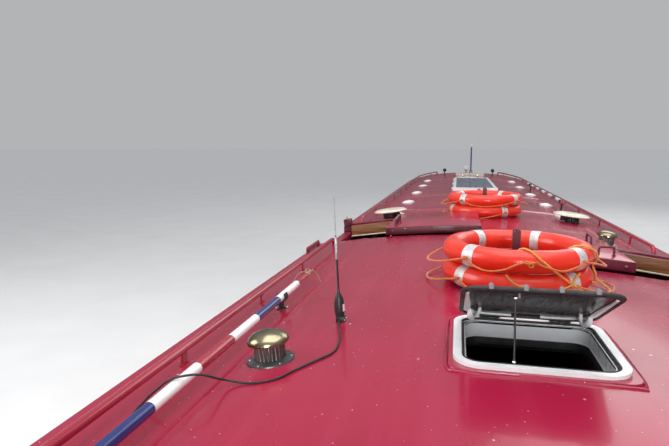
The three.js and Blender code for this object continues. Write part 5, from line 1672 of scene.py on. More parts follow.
def gritDeck():
    material, tree = newFinish("gritMaroon", specular=0.4)
    grit = addNode(tree, "TexVoronoi", {"Scale": 420, "Vector": surfacePlace(tree)})
    base = blendColour(tree, between(tree, grain(tree, 3, detail=6), 0.35, 0.7), (0.12, 0.014, 0.024),
                       (0.2, 0.02, 0.035))
    trodden = blendColour(tree, between(tree, grit.outputs["Distance"], 0.1, 0.5, 0.35, 0), base,
                          (0.3, 0.2, 0.18))
    rough = between(tree, grain(tree, 8, detail=4), 0.3, 0.7, 0.6, 0.85)
    return finished(material, trodden, rough, grit.outputs["Distance"], 0.0009, 0.7)


def planks(name, light, dark, wide):
    material, tree = newFinish(name, specular=0.4)
    rays = grain(tree, 6, (11, 1, 11), 6, 0.6)
    across = addNode(tree, "SeparateXYZ", {0: surfacePlace(tree)}).outputs["X"]
    cell = addNode(tree, "Math", {0: across, 1: wide / 2}, operation="PINGPONG")
    seam = between(tree, cell.outputs[0], 0.0, 0.003, 1, 0)
    base = blendColour(tree, between(tree, rays, 0.3, 0.7), dark, light)
    rough = between(tree, rays, 0.3, 0.7, 0.5, 0.75)
    return finished(material, blendColour(tree, seam, base, (0.03, 0.02, 0.015)), rough, rays, 0.0005, 0.4)


def bronze():
    material, tree = newFinish("screwBronze", metal=1.0)
    base = blendColour(tree, between(tree, grain(tree, 14, detail=6), 0.35, 0.7), (0.42, 0.25, 0.1),
                       (0.6, 0.42, 0.2))
    stained = blendColour(tree, between(tree, grain(tree, 20, detail=7), 0.56, 0.75, 0, 0.7), base,
                          (0.13, 0.2, 0.15))
    rough = between(tree, grain(tree, 30, detail=5), 0.3, 0.7, 0.28, 0.5)
    return finished(material, stained, rough, grain(tree, 90, detail=4), 0.0004, 0.4)


hullPaint()
gritDeck()
evenPaint("bandRed", (0.5, 0.03, 0.035), 0.3, 0.15, coat=0.4, scale=5)
evenPaint("bandCream", (0.78, 0.7, 0.48), 0.32, 0.1, coat=0.4, scale=6)
planks("floorBoards", (0.33, 0.2, 0.1), (0.2, 0.11, 0.05), 0.14)
planks("deckBoards", (0.36, 0.24, 0.14), (0.22, 0.14, 0.08), 0.112)
bronze()
evenPaint("plateBlack", (0.018, 0.018, 0.02), 0.6, 0.5, scale=4, texture=0.001)
skin = {"inset": 0.012, "swim": [(0.022, -0.45), (0.06, -0.3), (0.19, 0.0), (0.43, 0.35),
                                 (0.72, 0.75), (0.93, 1.15), (1.01, 1.5), (1.028, 2.0)],
        "bands": [(0.0, 0), (0.11, 0), (0.145, 2), (0.62, 1), (0.655, 2), (1.0, 0)], "bandFore": -0.25}


def bowPoints(tip, steps=40):
    points = []
    for i in range(1, steps + 1):
        station = hull["shoulder"] + (tip - hull["shoulder"]) * (1 - (1 - i / steps) ** 1.5)
        points.append((max(0.006, bowHalf(station, tip) - skin["inset"]), station))
    return points


def sternPoints(steps=24):
    half = hull["halfBeam"] - skin["inset"]
    reach = hull["counterSquare"] - hull["stern"] - skin["inset"]
    angles = [math.radians(90 - 90 * i / steps) for i in range(steps + 1)]
    return [(max(0.004, half * math.cos(a)), hull["counterSquare"] - reach * math.sin(a)) for a in angles]


def straight(points, upTo, step=0.5):
    s, made = points[-1][1], []
    count = max(1, round((upTo - s) / step))
    for i in range(1, count + 1):
        made.append((hull["halfBeam"] - skin["inset"], s + (upTo - s) * i / count))
    return points + made


def closedSkin(rows, matAt):
    # rows of (x, station, z) points on the starboard side, low to high; the port side mirrors them
    bm = bmesh.new()
    right = [[bm.verts.new((x, at(s), z)) for x, s, z in row] for row in rows]
    left = [[bm.verts.new((-x, at(s), z)) for x, s, z in row] for row in rows]
    count = len(rows[0])
    for k in range(len(rows) - 1):
        for i in range(count - 1):
            middle = rows[k][i][1]
            for side, rowset in ((1, right), (-1, left)):
                corners = [rowset[k][i], rowset[k][i + 1], rowset[k + 1][i + 1], rowset[k + 1][i]]
                bm.faces.new(corners if side > 0 else corners[::-1]).material_index = matAt(k, middle)
        transom = bm.faces.new((left[k][0], right[k][0], right[k + 1][0], left[k + 1][0]))
        transom.material_index = matAt(k, -2)
        bm.faces.new((right[k][-1], left[k][-1], left[k + 1][-1], right[k + 1][-1]))
    for k, flip in ((0, True), (len(rows) - 1, False)):
        for i in range(count - 1):
            corners = [right[k][i], right[k][i + 1], left[k][i + 1], left[k][i]]
            face = bm.faces.new(corners[::-1] if not flip else corners)
            face.material_index = 3 if k else 0
    bmesh.ops.recalc_face_normals(bm, faces=bm.faces)
    return bm


def cutter(low, high):
    bm = bmesh.new()
    block(bm, low, high, 3, 0)
    return bm


def prism(outline, low, high):
    bm = bmesh.new()
    slab(bm, outline, low, high, 3, 0)
    return bm


def cutAway(bm, cutters, finishes):
    mesh = bpy.data.meshes.new("shell")
    bm.to_mesh(mesh)
    bm.free()
    body = bpy.data.objects.new("shell", mesh)
    scene.collection.objects.link(body)
    for key in finishes:
        mesh.materials.append(finish[key])
    holders = []
    for tool in cutters:
        toolMesh = bpy.data.meshes.new("tool")
        bmesh.ops.recalc_face_normals(tool, faces=tool.faces)
        tool.to_mesh(toolMesh)
        tool.free()
        for key in finishes:
            toolMesh.materials.append(finish[key])
        holder = bpy.data.objects.new("tool", toolMesh)
        scene.collection.objects.link(holder)
        holders.append(holder)
        step = body.modifiers.new("cut", "BOOLEAN")
        step.operation, step.solver, step.object = "DIFFERENCE", "EXACT", holder
    bpy.context.view_layer.update()
    result = bpy.data.meshes.new_from_object(body.evaluated_get(bpy.context.evaluated_depsgraph_get()))
    made = bmesh.new()
    made.from_mesh(result)
    for holder in [body, *holders]:
        old = holder.data
        bpy.data.objects.remove(holder)
        bpy.data.meshes.remove(old)
    bpy.data.meshes.remove(result)
    return made


def makeHull():
    knee, bow, full = hull["stemKnee"], hull["bow"], hull["gunwale"] + hull["bowRise"]
    foot = hull["counterFoot"]
    fine = [(p.x, p.y) for p in smoothLine([(x, s, 0) for x, s in skin["swim"]], 0.09)]
    swim = straight(fine, hull["shoulder"])
    low = [(x, s, 0.0125) for x, s in swim + bowPoints(hull["stemFoot"])]
    high = [(x, s, foot) for x, s in swim + bowPoints(knee)]
    lower = closedSkin([low, high], lambda k, s: 0)
    side = straight(sternPoints(), hull["shoulder"])
    under, over = side + bowPoints(knee), side + bowPoints(bow)
    rows = []
    for share, _ in skin["bands"]:
        row = []
        for (x0, s0), (x1, s1) in zip(under, over):
            top = gunwaleZ(s1) - 0.0005
            t = share * (top - foot) / (full - foot)
            row.append((x0 + (x1 - x0) * t, s0 + (s1 - s0) * t, foot + t * (full - foot)))
        rows.append(row)
    upper = closedSkin(rows, lambda k, s: skin["bands"][k + 1][1] if s < skin["bandFore"] else 0)
    room = [(0.36, 0.3), (0.5, 0.52), (0.76, 0.95), (0.985, 1.5), (0.985, 9.0), (0.955, 9.6), (0.915, 9.9),
            (0.865, 10.15)]
    roomPlan = [(x, at(s)) for x, s in room] + [(-x, at(s)) for x, s in reversed(room)]
    wellSide = [(0.95, 10.2), (0.9, 10.45), (0.82, 10.8), (0.7, 11.1), (0.56, 11.38)]
    wellPlan = [(min(x, bowHalf(s, bow) - 0.09), at(s)) for x, s in wellSide]
    wellPlan += [(-x, y) for x, y in reversed(wellPlan)]
    opening = [(cabinHalf(s, 0.955) - 0.05, s) for s in [0.3, 8.9]
               + [8.9 + 0.125 * i for i in range(1, 11)]]
    openingPlan = [(x, at(s)) for x, s in opening] + [(-x, at(s)) for x, s in reversed(opening)]
    tools = lambda: [prism(roomPlan, 0.16, 1.042), prism(wellPlan, 0.64, 2.0),
                     prism(openingPlan, 1.03, 2.0),
                     cutter((-0.52, at(-0.65), 0.56), (0.52, at(0.19), 2.0)),
                     cutter((-0.27, at(10.1), 0.694), (0.27, at(10.26), 1.9)),
                     cutter((-0.03, at(-0.89), 0.2), (0.03, at(-0.83), 2.0))]
    mats = ["hullBlack", "bandRed", "bandCream", "gritMaroon"]
    lower, upper = cutAway(lower, tools()[:1], mats), cutAway(upper, tools(), mats)
    mesh = bpy.data.meshes.new("lower")
    lower.to_mesh(mesh)
    lower.free()
    upper.from_mesh(mesh)
    bpy.data.meshes.remove(mesh)
    piece("hullShell", upper, mats, stands=["hull_stern", "hull_middle", "hull_bow"],
          sharp=28, turnFaces=False)


def guardLine(height, fromStation):
    # a level line round the stern and forward along starboard, at the skin
    points = []
    for x, s in straight(sternPoints(36), hull["shoulder"]) + bowPoints(hull["bow"], 50):
        if s < fromStation:
            continue
        z = height if isinstance(height, float) else height(s)
        full = hull["gunwale"] + hull["bowRise"]
        t = (z - hull["counterFoot"]) / (full - hull["counterFoot"])
        tip = hull["stemKnee"] + (hull["bow"] - hull["stemKnee"]) * t
        half = x if s <= hull["shoulder"] else max(0.006, bowHalf(s, tip) - skin["inset"])
        if s >= tip - 0.02:
            break
        points.append(Vector((half, at(s), z)))
    return points


def makeGuards():
    bm = bmesh.new()
    for height, start, thick in ((lambda s: gunwaleZ(s) - 0.012, -2, 0.0115),
                                 (lambda s: gunwaleZ(s) - 0.1, -2, 0.009), (0.8, -0.2, 0.011),
                                 (0.62, 8.6, 0.011)):
        line = guardLine(height, start)
        if start < -1:
            tube(bm, [Vector((-p.x, p.y, p.z)) for p in reversed(line)] + line[1:], thick, 0, 12)
        else:
            for mirror in (1, -1):
                tube(bm, [Vector((mirror * p.x, p.y, p.z)) for p in line], thick, 0, 12)
    stem = [Vector((0, at(stemAt(z)) - 0.016, z)) for z in (0.02, 0.2, 0.4, 0.5, 0.7, 0.9, 1.1, 1.215)]
    tube(bm, smoothLine(stem, 0.04), 0.019, 0, 14)
    piece("guardIrons", bm, ["hullBlack"])


def dress(node, name):
    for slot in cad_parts[node].material_slots:
        slot.material = finish[name]


makeHull()
makeGuards()
dress("baseplate", "plateBlack")
dress("cabin_floor", "floorBoards")
for nodeName in ("cabin_side_port", "cabin_side_starboard", "rear_bulkhead", "front_bulkhead"):
    dress(nodeName, "sideCrimson")
dress("rear_hatch", "roofCrimson")
print("hull ready")

# Cabin sides: windows with alloy frames, coach lines, doors with panels and hinges

evenPaint("windowAlloy", (0.55, 0.54, 0.5), 0.3, 0.12, 0.85, scale=40, texture=0.0001)
glass, tree = newFinish("windowGlass", colour=(0.02, 0.024, 0.026), coat=1.0, coatRough=0.02, specular=0.7)
finished(glass, None, between(tree, grain(tree, 3, detail=4), 0.3, 0.7, 0.03, 0.12),
         grain(tree, 1.5), 0.0006, 0.2)
evenPaint("coachCream", (0.78, 0.7, 0.5), 0.35, 0.08, coat=0.3, scale=20)
windows = {"stations": (1.25, 4.6, 5.9, 7.2, 8.3), "wide": 0.8, "tall": 0.4, "foot": 1.33, "corner": 0.06,
           "frameWide": 0.022, "proud": 0.006, "screws": 5}
sideFace = {"footHalf": 0.955, "topHalf": 0.93, "foot": 1.05, "top": 1.878}


def faceHalf(z):
    share = (z - sideFace["foot"]) / (sideFace["top"] - sideFace["foot"])
    return sideFace["footHalf"] + (sideFace["topHalf"] - sideFace["footHalf"]) * share


def onFace(side, station, z):
    # local x runs along the boat, y up the leaning side and z out of it
    lean = math.atan2(sideFace["footHalf"] - sideFace["topHalf"], sideFace["top"] - sideFace["foot"])
    u = Vector((0, side, 0))
    v = Vector((-side * math.sin(lean), 0, math.cos(lean)))
    w = u.cross(v)
    place = Matrix((u, v, w)).transposed().to_4x4()
    place.translation = (side * faceHalf(z), at(station), z)
    return place


def makeWindows(side):
    w = windows
    bm = bmesh.new()
    halfWide, halfTall = w["wide"] / 2, w["tall"] / 2

    def inset(depth):
        a, b = halfWide - depth, halfTall - depth
        return roundedOutline(-a, a, -b, b, w["corner"] - depth, 8)

    for station in w["stations"]:
        place = onFace(side, station, w["foot"] + halfTall)
        slab(bm, inset(-w["frameWide"]), 0.0004, w["proud"], 0, 0.0022, place, hole=inset(0.01), steps=3)
        slab(bm, inset(0.002), -0.05, 0.0005, 0, 0, place, hole=inset(0.01))
        slab(bm, inset(0.006), -0.026, -0.021, 1, 0, place)
        block(bm, (-halfWide + 0.008, 0.062, -0.024), (halfWide - 0.008, 0.078, 0.0035), 0, 0.0015, place)
        block(bm, (-0.008, 0.074, -0.024), (0.008, halfTall - 0.008, 0.002), 0, 0.0015, place)
        slab(bm, inset(0.01), -0.021, -0.017, 2, 0.001, place, hole=inset(0.016))
        for x in (-0.12, 0.12):
            block(bm, (x - 0.02, 0.079, -0.014), (x + 0.02, 0.086, 0.001), 2, 0.0015, place)
        count = w["screws"]
        spots = [((i / (count - 1) - 0.5) * (w["wide"] - 0.16), sy * (halfTall + 0.007))
                 for i in range(count) for sy in (-1, 1)]
        spots += [(sx * (halfWide + 0.007), v) for sx in (-1, 1) for v in (-0.11, 0.0, 0.11)]
        for u, v in spots:
            turn(bm, mm((4.5, 0), (4.2, 1), (1.8, 1.7), (0, 1.7)),
                 place @ moved(u, v, w["proud"] - 0.0004), 3, 10)
    piece("windows" + sideWord[side], bm,
          ["windowAlloy", "windowGlass", "blackRubber", "brightSteel"])


def coachLine(bm, side, s0, s1, z0, z1, radius=0.05, half=0.0045):
    # a painted line round a panel, as a thin band that stands on the side
    place = onFace(side, (s0 + s1) / 2, (z0 + z1) / 2)
    a, b = (s1 - s0) / 2, (z1 - z0) / 2
    outer = roundedOutline(-a, a, -b, b, radius, 6)
    inner = roundedOutline(-a + 2 * half, a - 2 * half, -b + 2 * half, b - 2 * half, radius - 2 * half, 6)
    slab(bm, outer, 0.0002, 0.0011, 0, 0, place, hole=inner)


coachLines = {"spans": {-1: ((0.3, 2.94), (3.74, 8.85)), 1: ((0.3, 2.23), (2.93, 8.85))},
              "heights": (1.12, 1.82), "apart": 0.035}


def makeCoachLines():
    (z0, z1), apart = coachLines["heights"], coachLines["apart"]
    for side, spans in coachLines["spans"].items():
        bm = bmesh.new()
        for s0, s1 in spans:
            coachLine(bm, side, s0, s1, z0, z1)
            coachLine(bm, side, s0 + apart, s1 - apart, z0 + apart, z1 - apart, 0.03, 0.002)
        piece("coachLine" + sideWord[side], bm, ["coachCream"])
        trim = bmesh.new()
        edge = [(side * cabinHalf(s, 0.9505), at(s), 1.056) for s in
                [0.26, 1, 2, 3, 4, 5, 6, 7, 8, 8.7] + [8.9 + 0.13 * i for i in range(10)]]
        tube(trim, edge, 0.0042, 0, 8)
        piece("cabinFootBead" + sideWord[side], trim, ["maroonTrimAndShade"])


doors = {"hinges": (0.12, 0.5, 0.88), "sideMargin": 0.06, "endMargin": 0.045,
         "rearPanels": ((0.05, 0.36), (0.41, 0.74)), "frontPanels": ((0.06, 0.52), (0.58, 1.04))}


def makeSideDoor(side, fore, name):
    low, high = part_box("side_door_" + name)
    bm = bmesh.new()
    s0, s1 = low.y - helmY, high.y - helmY
    z0, z1 = low.z, high.z
    middle, centreZ = (s0 + 0.006 + s1 - 0.009) / 2, (z0 + z1) / 2
    a, b = (s1 - s0 - 0.015) / 2, (z1 - z0) / 2
    place = onFace(side, middle, centreZ)
    block(bm, (-a, -b, -0.049), (a, b, -0.0005), 0, 0.003, place)
    margin = doors["sideMargin"]
    for foot, head in ((-b + margin, -0.05), (0.03, b - margin)):
        outer, inner, field = [rectangle(margin + d - a, a - margin - d, foot + d, head - d)
                               for d in (0, 0.018, 0.04)]
        slab(bm, outer, -0.001, 0.006, 0, 0.0025, place, hole=inner)
        slab(bm, field, -0.001, 0.0035, 1, 0.0015, place)
        slab(bm, outer, -0.0535, -0.048, 2, 0.0015, place, hole=inner)
    # the hinge is at the fore edge: local x runs forward to starboard, aft to port
    knob = place @ moved(-side * (a - 0.045), 0, 0)
    turn(bm, mm((0, -1), (16, -1), (16, 1.8), (7, 2.6), (6.5, 6), (12, 8.5), (12.5, 12), (9, 14.8),
                (0, 15.5)), knob, 3, 28)
    hingeS = fore - 0.0003 - 0.009
    for share in doors["hinges"]:
        z = z0 + (z1 - z0) * share
        barrel(bm, lambda d: (side * faceHalf(z + d), at(hingeS), z + d), 0.0345, 0.0088, 0.0078, 3)
    piece("doorSide" + name.capitalize(), bm, ["sideCrimson", "maroonTrimAndShade", "doorWood", "agedBrass"],
          body="side_door_" + name, stands=["side_door_" + name])


def makeEndDoor(node, face, out, panels):
    # a pair's leaf on the end of the cabin; out is -1 for the aft pair and 1 for the fore pair
    low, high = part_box(node)
    side = -1 if "port" in node else 1
    bm = bmesh.new()
    inner, outer = 0.003, max(abs(low.x), abs(high.x)) - 0.0045
    y = sorted((face, face - out * 0.0295))
    xs = sorted((side * inner, side * outer))
    block(bm, (xs[0], y[0], low.z), (xs[1], y[1], high.z), 0, 0.0025)
    for foot, head in panels:
        for which, depth, level in (("frame", 0.0042, 0.0), ("field", 0.0028, 0.034)):
            margin = doors["endMargin"] + level
            a0, a1 = sorted((side * (inner + margin), side * (outer - margin)))
            z0, z1 = low.z + foot + level, low.z + head - level
            yy = sorted((face - out * 0.001, face + out * depth))
            place = Matrix(((1, 0, 0, 0), (0, 0, 1, 0), (0, -1, 0, 0), (0, 0, 0, 1)))
            if which == "frame":
                hole = rectangle(a0 + 0.016, a1 - 0.016, -z1 + 0.016, -z0 - 0.016)
                slab(bm, rectangle(a0, a1, -z1, -z0), yy[0], yy[1], 0, 0.0018, place, hole=hole)
            else:
                slab(bm, rectangle(a0, a1, -z1, -z0), yy[0], yy[1], 1, 0.0012, place)
    spot = moved(side * (inner + 0.022), face, low.z + (high.z - low.z) * 0.47)
    spot = spot @ spun(90 * -out, "X")
    turn(bm, mm((0, -1), (14, -1), (14, 1.2), (6.2, 2), (5.8, 4.5), (10.5, 6.5), (10.5, 8.2), (8, 9.5),
                (0, 9.8)), spot, 2, 24)
    hingeX = side * (max(abs(low.x), abs(high.x)) - 0.009)
    hingeY = face + out * 0.0015
    for share in doors["hinges"]:
        z = low.z + (high.z - low.z) * share
        barrel(bm, lambda d: (hingeX, hingeY, z + d), 0.0345, 0.0087, 0.0078, 2)
        a0, a1 = sorted((side * (outer - 0.075), side * (outer - 0.005)))
        yy = sorted((face - out * 0.001, face + out * 0.0022))
        block(bm, (a0, yy[0], z - 0.014), (a1, yy[1], z + 0.014), 2, 0.0008)
    words = node.split("_")
    piece("door" + words[0].capitalize() + words[2].capitalize(), bm,
          ["doorWood", "maroonTrimAndShade", "agedBrass"], body=node, stands=[node])


for sideName, number in (("port", -1), ("starboard", 1)):
    makeWindows(number)
    makeSideDoor(number, hatches[sideName][2], sideName)
    makeEndDoor("rear_door_" + sideName, at(0.2003), -1, doors["rearPanels"])
    makeEndDoor("front_door_" + sideName, at(10.1997), 1, doors["frontPanels"])
makeCoachLines()
print("cabin sides ready")

# Stern: deck boards, engine, rudder, tiller and screw; bow: fender, mooring post and fairleads

evenPaint("engineGreen", (0.09, 0.16, 0.12), 0.4, 0.3, 0.1, 0.2, 14)


rearDeck = {"boards": 10, "gap": 0.0012, "battenInset": 0.1, "ringX": 0.3}


def makeRearDeck():
    low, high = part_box("rear_deck")
    bm = bmesh.new()
    boards, gap, inset = rearDeck["boards"], rearDeck["gap"], rearDeck["battenInset"]
    battens = (low.y + inset, (low.y + high.y) / 2, high.y - inset)
    wide = (high.x - low.x) / boards
    for i in range(boards):
        x = low.x + wide * i
        block(bm, (x + gap, low.y, low.z + 0.001), (x + wide - gap, high.y, high.z), 0, 0.0025)
    for y in battens:
        block(bm, (low.x + 0.002, y - 0.03, low.z), (high.x - 0.002, y + 0.03, low.z + 0.012), 0, 0.001)
    for i in range(boards):
        for y in battens:
            for d in (0.25, 0.75):
                spot = moved(low.x + wide * (i + d), y, high.z - 0.0003)
                turn(bm, mm((4, 0), (3.6, 0.7), (0, 1)), spot, 1, 8)
    for side in (-1, 1):
        x, y = side * rearDeck["ringX"], battens[1]
        outline = roundedOutline(-0.035, 0.035, -0.05, 0.05, 0.012, 4)
        slab(bm, outline, -0.002, 0.0012, 1, 0.0005, moved(x, y, high.z))
        ring = [(x + a, y + b, high.z + 0.0032)
                for a, b in ((-0.02, -0.03), (-0.02, 0.02), (0, 0.03), (0.02, 0.02), (0.02, -0.03))]
        tube(bm, smoothLine(ring, 0.006), 0.0026, 1, 8)
    piece("deckBoards", bm, ["deckBoards", "brightSteel"], stands=["rear_deck"])


engine = {"ribs": 6, "ribApart": 0.07, "cylinders": 4, "cylinderApart": 0.1, "mountX": 0.175}


def makeEngine():
    low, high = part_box("engine_block")
    x, y, z = (low + high) / 2
    bm = bmesh.new()
    block(bm, (x - 0.15, y - 0.22, low.z + 0.06), (x + 0.15, y + 0.24, high.z - 0.1), 0, 0.012)
    block(bm, (x - 0.11, y - 0.2, high.z - 0.11), (x + 0.11, y + 0.22, high.z - 0.045), 0, 0.01)
    block(bm, (x - 0.085, y - 0.18, high.z - 0.05), (x + 0.085, y + 0.2, high.z - 0.012), 1, 0.014, steps=3)
    block(bm, (x - 0.12, y - 0.2, low.z + 0.01), (x + 0.12, y + 0.2, low.z + 0.07), 2, 0.02)
    for i in range(engine["ribs"]):
        rib = y - 0.19 + engine["ribApart"] * i
        block(bm, (x - 0.158, rib, low.z + 0.09), (x - 0.145, rib + 0.025, high.z - 0.13), 0, 0.004)
    aft = moved(x, y - 0.22, z - 0.02) @ spun(90, "X")
    turn(bm, mm((0, -10), (125, -10), (130, 0), (130, 20), (100, 30), (85, 60), (75, 75), (40, 78),
                (0, 78)), aft, 2, 40)
    fore = moved(x, y + 0.24, z - 0.05) @ spun(-90, "X")
    turn(bm, mm((0, -5), (90, -5), (95, 3), (90, 12), (83, 20), (90, 28), (95, 36), (90, 45), (30, 48),
                (0, 48)), fore, 2, 40)
    for i in range(engine["cylinders"]):
        head = y - 0.13 + engine["cylinderApart"] * i
        turn(bm, mm((12, 0), (12, 12), (7, 16), (7, 30), (0, 32)),
             moved(x + 0.095, head, high.z - 0.06), 3, 14)
        pipe = [(x + 0.095, head, high.z - 0.03), (x + 0.14, y - 0.1 + 0.08 * i, high.z - 0.02),
                (x + 0.17, y - 0.05 + 0.04 * i, high.z - 0.06), (x + 0.175, y - 0.02 + 0.02 * i, z)]
        tube(bm, smoothLine(pipe, 0.01), 0.003, 3, 8)
    block(bm, (x + 0.145, y - 0.09, z - 0.05), (x + 0.195, y + 0.07, z + 0.03), 2, 0.008)
    for sx in (-1, 1):
        for sy in (-0.2, 0.18):
            foot = x + sx * engine["mountX"]
            block(bm, (foot - 0.03, y + sy - 0.03, low.z),
                  (foot + 0.03, y + sy + 0.03, low.z + 0.05), 2, 0.005)
            block(bm, (x + min(sx * 0.1, sx * 0.19), y + sy - 0.02, low.z + 0.048),
                  (x + max(sx * 0.1, sx * 0.19), y + sy + 0.02, low.z + 0.07), 0, 0.004)
    piece("dieselEngine", bm, ["engineGreen", "satinBlack", "plateBlack", "brightSteel"],
          stands=["engine_block"])


rudder = {
    "station": -0.86, "halfThick": 0.008, "stiffeners": (0.16, 0.36), "collars": (1.092, 1.25),
    "gripFrom": 0.5,
    # station, height
    "blade": [(-1.1, 0.075), (-1.085, 0.06), (-0.775, 0.06), (-0.76, 0.075), (-0.76, 0.455), (-0.775, 0.47),
              (-1.08, 0.47), (-1.1, 0.44)],
    # forward of the stock, over its head
    "tiller": mm((0, 0.5), (0, 30), (-3, 80), (-6, 120), (0, 175), (40, 220), (100, 246),
                 (180, 265), (300, 273), (420, 275), (540, 273), (660, 270)),
}


def makeRudder():
    y = at(rudder["station"])
    bm = bmesh.new()
    outline = [(at(station), z) for station, z in rudder["blade"]]
    slab(bm, outline, -rudder["halfThick"], rudder["halfThick"], 0, 0.003, acrossBoat(0))
    for z in rudder["stiffeners"]:
        block(bm, (-0.0145, y - 0.2, z - 0.02), (0.0145, y, z + 0.02), 0, 0.004)
    turn(bm, [(0, 0.0125), (0.0225, 0.0125), (0.0238, 0.02), (0.0238, 1.27), (0.0225, 1.288), (0, 1.2885)],
         moved(0, y, 0), 0, 36)
    for z in rudder["collars"]:
        turn(bm, [(0.0237, z - 0.006), (0.024, z - 0.005), (0.024, z + 0.005), (0.0237, z + 0.006)],
             moved(0, y, 0), 1, 36)
    piece("rudderBlade", bm, ["plateBlack", "brightSteel"], body="rudder_gear",
          stands=["rudder"])
    tiller = bmesh.new()
    line = smoothLine([(0, y + ahead, 1.29 + rise) for ahead, rise in rudder["tiller"]], 0.012)
    cut = max(i for i, p in enumerate(line) if p.y < y + rudder["gripFrom"])
    tube(tiller, line[:cut + 1], lambda t: 0.0168 - 0.002 * t, 0, 24)
    tube(tiller, line[cut:], lambda t: 0.0132 + 0.0034 * math.sin(math.pi * min(1, 0.2 + 0.8 * t)) ** 0.8,
         1, 24)
    tube(tiller, line[cut - 1:cut + 2], 0.0168, 0, 24)
    turn(tiller, [(0.0165, 1.2905), (0.017, 1.292), (0.017, 1.312), (0.0165, 1.314)], moved(0, y, 0), 0, 32)
    piece("swanNeck", tiller, ["agedBrass", "doorWood"], body="rudder_gear",
          stands=["tiller"])


# Screw: three cupped blades on a tapered boss, its hexagon nut and the shaft

screw = {
    "station": -0.54, "height": 0.3, "blades": 3, "pitch": 0.55, "skew": 0.16, "shaft": 0.0175,
    "edgePoints": 12,
    # distance from the shaft's middle, half-width of the blade, half its thickness
    "blade": mm((26, 22, 6.2), (40, 28, 6), (60, 36.5, 5.4), (85, 47, 4.7), (110, 55.5, 4),
                (135, 59.5, 3.4), (157, 57, 2.8), (174, 48, 2.3), (186, 36, 1.9), (193, 23, 1.5),
                (196.5, 9, 1.1)),
}


def bladeSection(reach, half, thick, bearing):
    # a lens-shaped section, wrapped round the shaft at this distance from it
    slope = math.atan(screw["pitch"] / (2 * math.pi * reach))
    swept = bearing + screw["skew"] * (reach / 0.2) ** 2
    count = screw["edgePoints"]
    upper = [(-math.cos(math.pi * i / count), 1) for i in range(count)]
    ring = []
    for t, face in upper + [(-s, -1) for s, _ in upper]:
        angle = swept + half * t * math.cos(slope) / reach
        out = Vector((math.sin(angle), 0, math.cos(angle)))
        across = Vector((math.cos(angle), 0, -math.sin(angle)))
        lift = face * thick * (1 - t * t) ** 0.6 + 0.0022 * (1 - t * t) * half / 0.06
        normal = across * -math.sin(slope) + Vector((0, math.cos(slope), 0))
        middle = Vector((0, at(screw["station"]) + half * t * math.sin(slope), screw["height"]))
        ring.append(middle + out * reach + normal * lift)
    return ring


def makeScrew():
    bm = bmesh.new()
    for number in range(screw["blades"]):
        bearing = 2 * math.pi * number / screw["blades"] - 0.06
        loft(bm, [bladeSection(*size, bearing) for size in screw["blade"]], 0)
    place = moved(0, at(-0.6), screw["height"]) @ spun(-90, "X")
    turn(bm, mm((0, 0.5), (8.5, 1), (10, 3), (10, 12)), place, 1, 24)
    turn(bm, mm((0, 6), (16.5, 6), (18.5, 8), (18.5, 21), (0, 21)), place, 1, 6)
    turn(bm, mm((0, 20.5), (24.5, 20.5), (28.5, 23), (32.5, 34), (35.2, 52), (35.5, 72), (34.5, 94),
                (32, 112), (29.5, 118.5), (27, 119.5), (0, 119.5)), place, 0, 48)
    turn(bm, [(screw["shaft"], 0.119), (screw["shaft"], 0.389), (0, 0.3895)], place, 1, 32)
    piece("threeBladeScrew", bm, ["screwBronze", "brightSteel"], body="propeller",
          stands=["propeller"], sharp=42)


fender = {"reach": 0.109, "half": 0.146, "strands": 14, "strand": 0.0062, "twist": 6.5, "lashing": 0.006}


def makeFender():
    low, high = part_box("bow_fender")
    bm = bmesh.new()
    rake = math.atan2(hull["bow"] - hull["stemKnee"], hull["gunwale"] + hull["bowRise"]
                      - hull["counterFoot"])
    middle = (low + high) / 2
    place = Matrix.Translation(middle) @ Matrix.Rotation(-rake, 4, "X")

    def plump(height):
        return fender["reach"] * math.sqrt(max(0.02, 1 - 0.75 * abs(height / 0.15) ** 2.6))

    # plaited rope: courses of strands that cross over a stuffed core
    heights = [-0.145 + 0.29 * i / 16 for i in range(17)]
    half, count = fender["half"], fender["strands"]
    turn(bm, [(0, -half)] + [(plump(h) - 0.013, h) for h in heights] + [(0, half)], place, 1, 40)
    for start in range(count):
        for hand in (-1, 1):
            points = []
            for i in range(41):
                h = -half + 2 * half * i / 40
                angle = 2 * math.pi * start / count + hand * (h + half) * fender["twist"]
                lift = 0.0035 * math.cos(math.pi * (i * 0.9 + start) + (0 if hand > 0 else math.pi))
                reach = plump(h) - 0.0075 + lift
                points.append(place @ Vector((reach * math.cos(angle), reach * math.sin(angle), h)))
            tube(bm, points, fender["strand"], 0, 8)
    for side in (-1, 1):     # lashings from the fender's head to the gunwale
        head = place @ Vector((side * 0.05, -0.03, half))
        eye = Vector((side * 0.11, at(12.62), gunwaleZ(12.62) + 0.006))
        middle = head.lerp(eye, 0.5) - Vector((0, 0, 0.012))
        line = [head - Vector((0, 0, 0.02)), head, middle, eye, eye - Vector((0, 0.012, 0.008))]
        layRope(bm, line, fender["lashing"])
    piece("bowButton", bm, ["fenderRope", "oldRope"], stands=["bow_fender"], sharp=60)


twine("fenderRope", (0.5, 0.4, 0.24), (0.22, 0.16, 0.09), 500)
twine("oldRope", (0.3, 0.23, 0.13), (0.14, 0.1, 0.06), 400)


def dolly(bm, x, y, z):
    turn(bm, mm((34, -4), (34, 6), (26, 10), (19, 20), (17, 50), (20, 72), (29, 80), (30, 88), (24, 96),
                (8, 100), (0, 100)), moved(x, y, z), 0, 32)


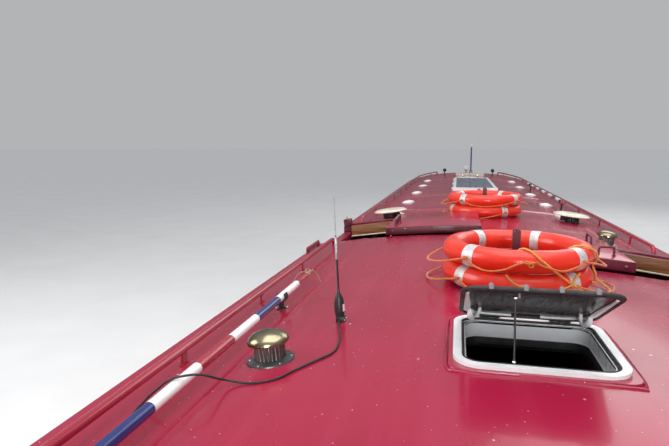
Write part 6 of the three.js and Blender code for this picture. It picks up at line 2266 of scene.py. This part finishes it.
deckGear = {"dollyX": 0.62, "dollyStation": -0.55, "postStation": 12.0,
            "fairleadStation": 12.35, "capX": 0.78}


def makeDeckGear():
    bm = bmesh.new()
    for side in (-1, 1):
        dolly(bm, side * deckGear["dollyX"], at(deckGear["dollyStation"]), gunwaleZ(0) - 0.001)
    foreY = deckGear["postStation"]
    z = gunwaleZ(foreY)
    turn(bm, mm((50, -3), (50, 6), (30, 10), (26, 20), (26, 110), (29, 114), (29, 122),
                (20, 128), (0, 129)),
         moved(0, at(foreY), z), 0, 36)
    tube(bm, [(d, at(foreY), z + 0.075) for d in (-0.085, -0.083, 0.083, 0.085)],
         lambda t: 0.0095 if 0.1 < t < 0.9 else 0.008, 0, 18)
    for side in (-1, 1):
        s = deckGear["fairleadStation"]
        x = side * (bowHalf(s, hull["bow"]) - 0.035)
        block(bm, (x - 0.012, at(s) - 0.06, gunwaleZ(s) - 0.002),
              (x + 0.012, at(s) + 0.06, gunwaleZ(s) + 0.03), 0, 0.006)
    # a locker's hinged cover on the foredeck
    lid = roundedOutline(-0.17, 0.17, at(11.48), at(11.78), 0.03, 5)
    slab(bm, lid, gunwaleZ(11.5) - 0.001, gunwaleZ(11.5) + 0.012, 1, 0.003)
    for x in (-0.1, 0.1):
        block(bm, (x - 0.02, at(11.775), gunwaleZ(11.78) + 0.002),
              (x + 0.02, at(11.8), gunwaleZ(11.78) + 0.016), 0, 0.002)
    # stern gear: filler caps and the rudder's top bearing
    for side in (-1, 1):
        turn(bm, mm((38, -1), (38, 3), (30, 5), (12, 5.5), (10, 3.5), (0, 3.5)),
             moved(side * deckGear["capX"], at(0.02), hull["gunwale"]), 2, 32)
    turn(bm, mm((55, -2), (55, 8), (40, 12), (38, 30), (31, 32), (26.5, 32), (26.5, 0)),
         moved(0, at(rudder["station"]), hull["gunwale"]), 0, 40)
    piece("deckGear", bm, ["hullBlack", "gritMaroon", "agedBrass"])


makeRearDeck()
makeEngine()
makeRudder()
makeScrew()
makeFender()
makeDeckGear()
print("stern and bow ready")
